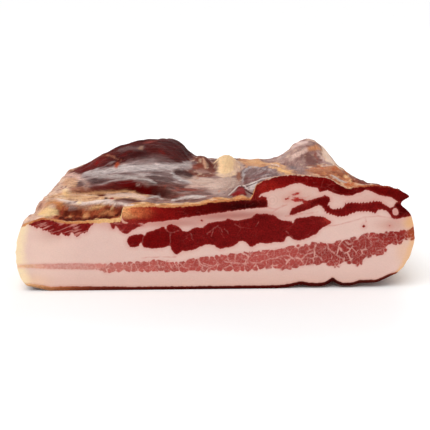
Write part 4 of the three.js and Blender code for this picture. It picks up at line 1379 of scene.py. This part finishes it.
def cut_streak(g, x, flat, coarse, fine):
    """The mixed streak and its mask: uneven red cells, parted by fat that is wide in places."""
    grown = g.warp(g.warp(flat, 9.0, 1.6), 2.6, 0.7)
    gap, cell = (g.cells(g.vectors("MULTIPLY", grown, CELL_FORM), STREAK_CELL, feature)[output]
                 for feature, output in (("DISTANCE_TO_EDGE", "Distance"), ("F1", "Color")))
    cell_tone = g.add("ShaderNodeSeparateColor", cell).outputs[0]
    small = g.cells(g.warp(flat, 2.0, 0.6), GRANULE)["Distance"]
    bold = g.step(g.noise(flat, 5.5, 2.0), -0.35, 0.75)
    full = g.step(x, *STREAK_FILLS)
    scallop = g.total(g.times(g.math("MINIMUM", gap, 0.3), 4.4), g.times(coarse, 0.3), -0.8)
    streak_side = g.total(g.stored("streak"), g.times(scallop, full), g.times(fine, 0.3))
    seam = g.step(g.math("SUBTRACT", gap, g.times(bold, 0.095)), 0.05, -0.012)
    wide = g.total(g.lines(g.warp(flat, 3.0, 0.8), STREAK_SEAMS), g.times(fine, 0.26), g.times(coarse, 0.2))
    solid = g.by(g.step(x, *STREAK_SOLID), 0.7, 0.3)
    seam = g.times(seam, full, g.by(bold, 0.75, 0.2))
    broken = g.step(g.noise(flat, 2.6, 2.0), -1.3, 0.3)
    seam = g.math("MAXIMUM", seam, g.times(g.step(wide, 0.8, -0.05), broken, 0.8))
    granules = g.times(g.step(small, 0.16, 0.0), g.step(g.noise(flat, 4.0, 1.0), -0.4, 0.9), 0.42)
    streak = g.mottle(g.stored("streak_rgb", "Color"), g.total(cell_tone, -0.5), 0.2)
    streak = g.mottle(streak, g.noise(flat, 1.1, 2.0), 0.06)
    streak = g.tint(granules, streak, "granule")
    streak = g.tint(g.times(seam, solid, 0.75), streak, "seam")
    blurred = g.total(g.times(full, 0.35), g.times(g.noise(flat, 1.6, 3.0), 0.32), 0.66)
    return streak, g.times(g.step(streak_side, -0.4, 0.5), g.math("MINIMUM", blurred, 1.0))


def cut_lean(g, x, z, flat, coarse, fine, lean_side):
    """The dark lean and its mask, with teeth where its fibres end in the fat."""
    tooth_at = g.total(x, g.times(z, -0.3), g.times(coarse, 0.5), g.times(fine, 0.2))
    teeth = g.math("SINE", g.times(tooth_at, 2 * math.pi / TOOTH))
    comb = g.times(g.stored("comb"), g.total(teeth, -0.1), g.step(coarse, -1.2, 0.6), 0.46)
    edge = g.total(lean_side, g.times(coarse, 0.45), g.times(fine, 0.3), comb)
    lean = g.mottle(g.stored("lean_rgb", "Color"), g.noise(flat, 4.0), 0.22)
    lean = g.mottle(lean, g.noise(flat, 0.9, 2.0), 0.42)
    bundles = g.cells(g.warp(flat, 6.0, 1.6), BUNDLE)["Distance"]
    shown = g.step(g.noise(flat, 13.0, 1.0), -0.3, 0.9)
    lean = g.tint(g.times(g.step(bundles, 0.045, 0.0), shown, 0.2), lean, "bundle line")
    fleck = g.step(g.noise(g.vectors("MULTIPLY", flat, (0.7, 1.3, 1.0)), 1.7, 2.0), 0.2, 1.4)
    lean = g.tint(g.times(fleck, shown, 0.4), lean, "fleck")
    slanted = g.point(g.total(g.times(x, 0.17), g.times(z, 0.06)),
                      g.total(g.times(z, 0.9), g.times(x, -0.32)))
    pale = g.step(g.total(g.noise(slanted, 1.5, 2.0), g.times(coarse, 0.3)), -0.1, 0.9)
    lean = g.tint(g.times(pale, g.step(x, *STRIPED_LEAN), 0.75), lean, "pale stripe")
    lean = g.tint(g.times(g.step(edge, 1.4, 0.1), 0.35), lean, "lean edge")
    white = g.step(g.total(g.lines(g.warp(flat, 3.0, 0.9), FAT_LINES), g.times(fine, 0.3)), 0.7, 0.0)
    lean = g.tint(g.times(white, g.by(fleck, 0.4, 0.2)), lean, "white line")
    return lean, g.step(edge, -0.3, 0.34)


def cut_borders(g, colour, flat, coarse, fine):
    """The crust's rim along the top and the rind along the bottom, and how dry the cut is there."""
    rim = g.mottle(g.stored("rim_rgb", "Color"), g.noise(flat, 1.2, 3.0), 0.26)
    rim = g.tint(g.times(g.step(g.noise(flat, 2.4, 3.0), 0.0, 0.9), 0.7), rim, "rim stain")
    rim_side = g.total(g.stored("rim"), g.times(fine, 0.5), g.times(coarse, 0.45))
    colour = g.blend(g.step(rim_side, -0.45, 0.35), colour, rim)
    rind_side = g.total(g.stored("rind"), g.times(fine, 0.2), g.times(coarse, 0.2))
    colour = g.tint(g.times(g.step(rind_side, -1.8, 0.4), 0.4), colour, "fat by rind")
    rind = g.mottle(g.stored("rind_rgb", "Color"), g.noise(flat, 1.3), 0.2)
    rind = g.mottle(rind, g.step(rind_side, 0.4, 1.5), -0.4)
    rind_mask = g.step(rind_side, -0.3, 0.3)
    colour = g.blend(rind_mask, colour, rind)
    return colour, g.math("MAXIMUM", g.step(rim_side, -0.4, 0.4), rind_mask)


def cut_face(shift):
    """Fresh knife cut: pink-white fat, dark lean, the mixed streak, the crust's rim and the rind."""
    g = Graph("fresh_cut")
    x, _, z = g.parts(g.place(shift))
    flat = g.point(x, z)
    coarse, fine = g.noise(flat, 4.5), g.noise(flat, 1.5)
    lean_side = g.stored("lean")
    fat = cut_fat(g, flat, coarse, lean_side)
    streak, streak_mask = cut_streak(g, x, flat, coarse, fine)
    lean, lean_mask = cut_lean(g, x, z, flat, coarse, fine, lean_side)
    colour = g.blend(lean_mask, g.blend(streak_mask, fat, streak), lean)
    colour, dry = cut_borders(g, colour, flat, coarse, fine)
    height = g.total(g.times(g.step(g.stored("lean"), -0.4, 0.5), -0.12), g.times(g.noise(flat, 7.0), 0.1),
                     g.times(g.noise(flat, 1.0, 3.0), 0.05))
    roughness = g.total(0.5, g.times(lean_mask, -0.06), g.times(dry, 0.12), g.times(fine, 0.03))
    return g.finish(colour, roughness, height, gloss=0.02, subsurface=0.06)


def seen_line(line):
    """A line of the top, given as x, y, as the points across and up that it shows from the front."""
    x, y = np.array(line, float).T
    return [tuple(map(float, place[:2])) for place in seen_place(x, y, top_height(x, y))]


def dried_patterns(g, shift):
    """What the dried surface's colour, gloss and relief are made of, each from about -1 to 1 or 0 to 1."""
    x, y, z = g.parts(g.place(shift))
    seen = g.point(x, g.total(g.times(y, math.sin(SIGHT)), g.times(z, math.cos(SIGHT))))
    seen = g.warp(seen, 2.4, 0.25)
    seen_x, seen_up, _ = g.parts(seen)
    grain = g.stored("grain", "Vector")
    across, along, third = g.parts(grain)
    p = SimpleNamespace(seen=seen, grain=grain, muscle=g.stored("muscle"), crust=g.stored("crust"))

    # along the picture for the top, and along the fibres of each side
    p.layers = g.noise(g.point(g.times(seen_x, 0.11), seen_up), 1.25, 3.0, 0.62)
    p.thin = g.noise(g.point(g.times(seen_x, 0.16), seen_up, 7.0), 0.62, 2.0, 0.5)
    p.fibres = g.noise(g.point(g.times(along, 0.07), across, third), 1.25, 3.0, 0.6)
    p.threads = g.noise(g.point(g.times(along, 0.05), across, third), 0.55, 2.0, 0.5)
    p.lumps = g.noise(grain, 5.5, 4.0, 0.6)
    p.grit = g.noise(grain, 0.9, 3.0, 0.6)

    # where they show: near the cut, on the top, at the left of it, and off the smooth knob of fat
    knob_x, knob_y = KNOB
    p.near = g.step(y, *FLAP_NEAR)
    p.level = g.step(z, *DRIED_LEVEL)
    p.along_x = g.times(p.level, g.by(g.step(x, *RIGHT_FIBRES), 0.65, 0.35))
    p.dull = g.step(g.apart(g.point(x, g.times(y, KNOB_SQUEEZE)), knob_x, knob_y * KNOB_SQUEEZE), *KNOB_DULL)
    crinkle = g.noise(g.point(g.times(seen_x, 0.2), seen_up, 3.0), 2.4, 2.0, 0.5)
    crease = g.step(g.math("ABSOLUTE", crinkle), 0.2, 0.02)
    p.crease = g.times(crease, g.step(p.lumps, -0.5, 0.6), p.along_x, p.dull)
    pits = g.step(g.cells(grain, PIT_CELL, "F1")["Distance"], 0.16, 0.05)
    p.pits = g.times(pits, g.step(p.lumps, 0.1, 0.6))
    return p


def dried_tones(g, p):
    """The painted colour made lighter and darker by fibres and grit, darker in the creases as painted shade,
    and flecked; the pale flecks are partly painted glints.
    """
    colour = g.mottle(g.stored("surface_rgb", "Color"), p.lumps, 0.13)
    colour = g.mottle(colour, p.fibres, g.by(p.muscle, 0.24, 0.06))
    colour = g.mottle(colour, p.threads, g.by(p.muscle, 0.10, 0.03))
    colour = g.mottle(colour, p.layers, p.along_x, g.by(p.muscle, 0.24, 0.06))
    colour = g.mottle(colour, p.thin, p.along_x, g.by(p.muscle, 0.13, 0.06))
    colour = g.mottle(colour, p.grit, g.by(p.crust, 0.24, 0.15))
    # painted shade: the creases made darker
    colour = g.mottle(colour, p.crease, -0.36)
    # pale flecks are partly painted glints; dark flecks are specks
    speck = g.noise(p.seen, 0.8, 1.0)
    flecks = g.total(g.times(g.step(speck, 0.4, 1.1), 0.26), g.times(g.step(speck, -0.6, -1.2), -0.3))
    return g.mottle(colour, flecks, p.level, p.dull)


def dried_stains(g, p, colour):
    """Bloom with painted sheen, greasy stains, pits darkened as painted shade, and the lines of the torn
    flap.
    """
    # bloom on the fibres' crests, with painted sheen
    bloom_and_sheen = g.step(g.total(p.fibres, g.times(p.lumps, 0.6), g.times(p.grit, 0.35)), 0.6, 1.7)
    colour = g.tint(g.times(bloom_and_sheen, g.by(p.muscle, 0.1, 0.02)), colour, "bloom_and_sheen")
    stain = g.step(g.total(p.lumps, g.times(p.grit, 0.5), g.times(p.layers, 0.4)), 0.5, 1.4)
    colour = g.tint(g.times(stain, g.by(p.muscle, -0.2, 0.36), p.dull), colour, "greasy stain")
    # painted shade: the pits made darker
    colour = g.tint(g.times(p.pits, 0.4), colour, "pit")
    for line, half, strength, rgb in FLAP_LINES:
        mark = g.step(g.line(p.seen, seen_line(line)), half + 0.25, half - 0.15)
        colour = g.blend(g.times(mark, p.near, strength), colour, rgb)
    return colour


def dried_surface(shift):
    """Air-dried top and walls: fibres along the muscles, bloom with painted sheen, greasy patches, and
    creases with painted shade in them.
    """
    g = Graph("dried_crust")
    p = dried_patterns(g, shift)
    colour = dried_stains(g, p, dried_tones(g, p))
    height = g.total(g.times(p.fibres, g.by(p.muscle, 0.16, 0.05)), g.times(p.lumps, 0.2),
                     g.times(p.grit, g.by(p.crust, 0.14, 0.09)), g.times(p.pits, -0.25),
                     g.times(p.threads, 0.025), g.times(p.crease, -0.2),
                     g.times(p.layers, p.along_x, g.by(p.muscle, 0.3, 0.1)))
    greasy = g.step(g.total(g.times(g.noise(p.grain, 14.0, 2.0), 0.5), g.times(p.lumps, 0.3)), -0.3, 0.8)
    roughness = g.total(0.66, g.times(greasy, -0.2), g.times(p.grit, 0.05), g.times(p.crust, 0.08))
    return g.finish(colour, roughness, height, gloss=0.03, subsurface=0.05)


def rind_skin():
    """Leathery tan-brown skin under the slab, with pores and fine creases."""
    g = Graph("rind_skin")
    grain = g.stored("grain", "Vector")
    across, along, third = g.parts(grain)
    creases = g.noise(g.point(along, g.times(across, 0.35), third), 2.6, 4.0, 0.6)
    patches = g.noise(grain, 26.0, 3.0)
    pores = g.cells(g.warp(grain, 4.0, 0.8), 2.7, "F1")["Distance"]
    pore = g.step(pores, 0.2, 0.07)
    colour = g.blend(g.step(patches, -0.9, 0.9), TINTS["rind dark"], TINTS["rind light"])
    colour = g.mottle(colour, creases, 0.14)
    colour = g.tint(g.times(g.step(g.noise(grain, 9.0), 0.6, 1.4), 0.4), colour, "rind scuff")
    colour = g.tint(g.times(pore, 0.65), colour, "rind pore")
    height = g.total(g.times(creases, 0.14), g.times(pore, -0.3), g.times(patches, 0.12))
    roughness = g.total(0.55, g.times(creases, 0.06))
    return g.finish(colour, roughness, height, gloss=0.35, subsurface=0.03)


# ---- floor, light and camera ----
PHOTO_SIDE = 430  # px
CAMERA_AWAY = 600  # mm from the point that it looks at
CAMERA_RISE = 16  # degrees above the floor's plane
CAMERA_FOCUS = 953  # px of focal length
CAMERA_ROLL = -0.6  # degrees
CAMERA_CLIP = (0.01, 50)  # m, nearest and farthest that it draws
LOOK_AT = (0, 0, 49.6)  # mm, in the form's own coordinates
SENSOR = 36  # mm
FLOOR_HALF = 6.0  # m
FLOOR_TONE, FLOOR_ROUGHNESS = 0.94, 0.8
ROOM_LIGHT = 0.62
SUN_POWER = 1.75
SUN_SPREAD = 60  # degrees
SUN_RUN = (0.34, 0.38, -0.86)  # the way that its light goes
SHEEN_PLACE = (0.25, 1.3, 0.9)  # m
SHEEN_AIM = (0, 0, 0.05)
SHEEN_SIZE = 0.9
SHEEN_POWER = 6
FLOOR_GAP = 0.1  # mm that the floor lies below the rind, so that their faces don't share a plane


def add_camera(shift):
    camera = bpy.data.cameras.new("camera")
    camera.sensor_width = SENSOR
    camera.lens = CAMERA_FOCUS / PHOTO_SIDE * SENSOR
    camera.clip_start, camera.clip_end = CAMERA_CLIP
    holder = put_in_scene("camera", camera)
    target = Vector(LOOK_AT) + Vector(shift)
    rise = math.radians(CAMERA_RISE)
    back = Vector((0, -math.cos(rise), math.sin(rise)))
    holder.location = (target + back * CAMERA_AWAY) * MM
    holder.rotation_euler = (math.pi / 2 - rise, 0, 0)
    holder.rotation_euler.rotate_axis("Z", math.radians(CAMERA_ROLL))
    bpy.context.scene.camera = holder


def add_floor():
    half = FLOOR_HALF
    mesh = bpy.data.meshes.new("floor")
    corners = [(-half, -half), (half, -half), (half, half), (-half, half)]
    mesh.from_pydata([(x, y, -FLOOR_GAP * MM) for x, y in corners], [], [(0, 1, 2, 3)])
    floor = put_in_scene("floor", mesh)
    g = Graph("pale_floor")
    g.shader.inputs["Base Color"].default_value = (FLOOR_TONE,) * 3 + (1,)
    g.shader.inputs["Roughness"].default_value = FLOOR_ROUGHNESS
    mesh.materials.append(g.material)


def add_lamp(kind, name, power, way):
    """A lamp that shines along a direction."""
    light = bpy.data.lights.new(name, kind)
    light.energy = power
    holder = put_in_scene(name, light)
    holder.rotation_euler = Vector(way).to_track_quat("-Z", "Y").to_euler()
    return holder


def add_studio():
    """A pale room, one very wide soft lamp above and in front, and a low lamp behind for the sheen."""
    world = bpy.data.worlds.new("studio")
    world.use_nodes = True
    room = world.node_tree.nodes["Background"]
    room.inputs["Color"].default_value = (1, 1, 1, 1)
    room.inputs["Strength"].default_value = ROOM_LIGHT
    scene = bpy.context.scene
    scene.world = world
    scene.view_settings.view_transform = "Standard"
    add_lamp("SUN", "overhead", SUN_POWER, SUN_RUN).data.angle = math.radians(SUN_SPREAD)
    sheen = add_lamp("AREA", "sheen", SHEEN_POWER, Vector(SHEEN_AIM) - Vector(SHEEN_PLACE))
    sheen.location = SHEEN_PLACE
    sheen.data.size = SHEEN_SIZE


slab, slab_shift = make_slab()
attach(slab, "root")
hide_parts("belly_slab")
add_floor()
add_studio()
add_camera(slab_shift)
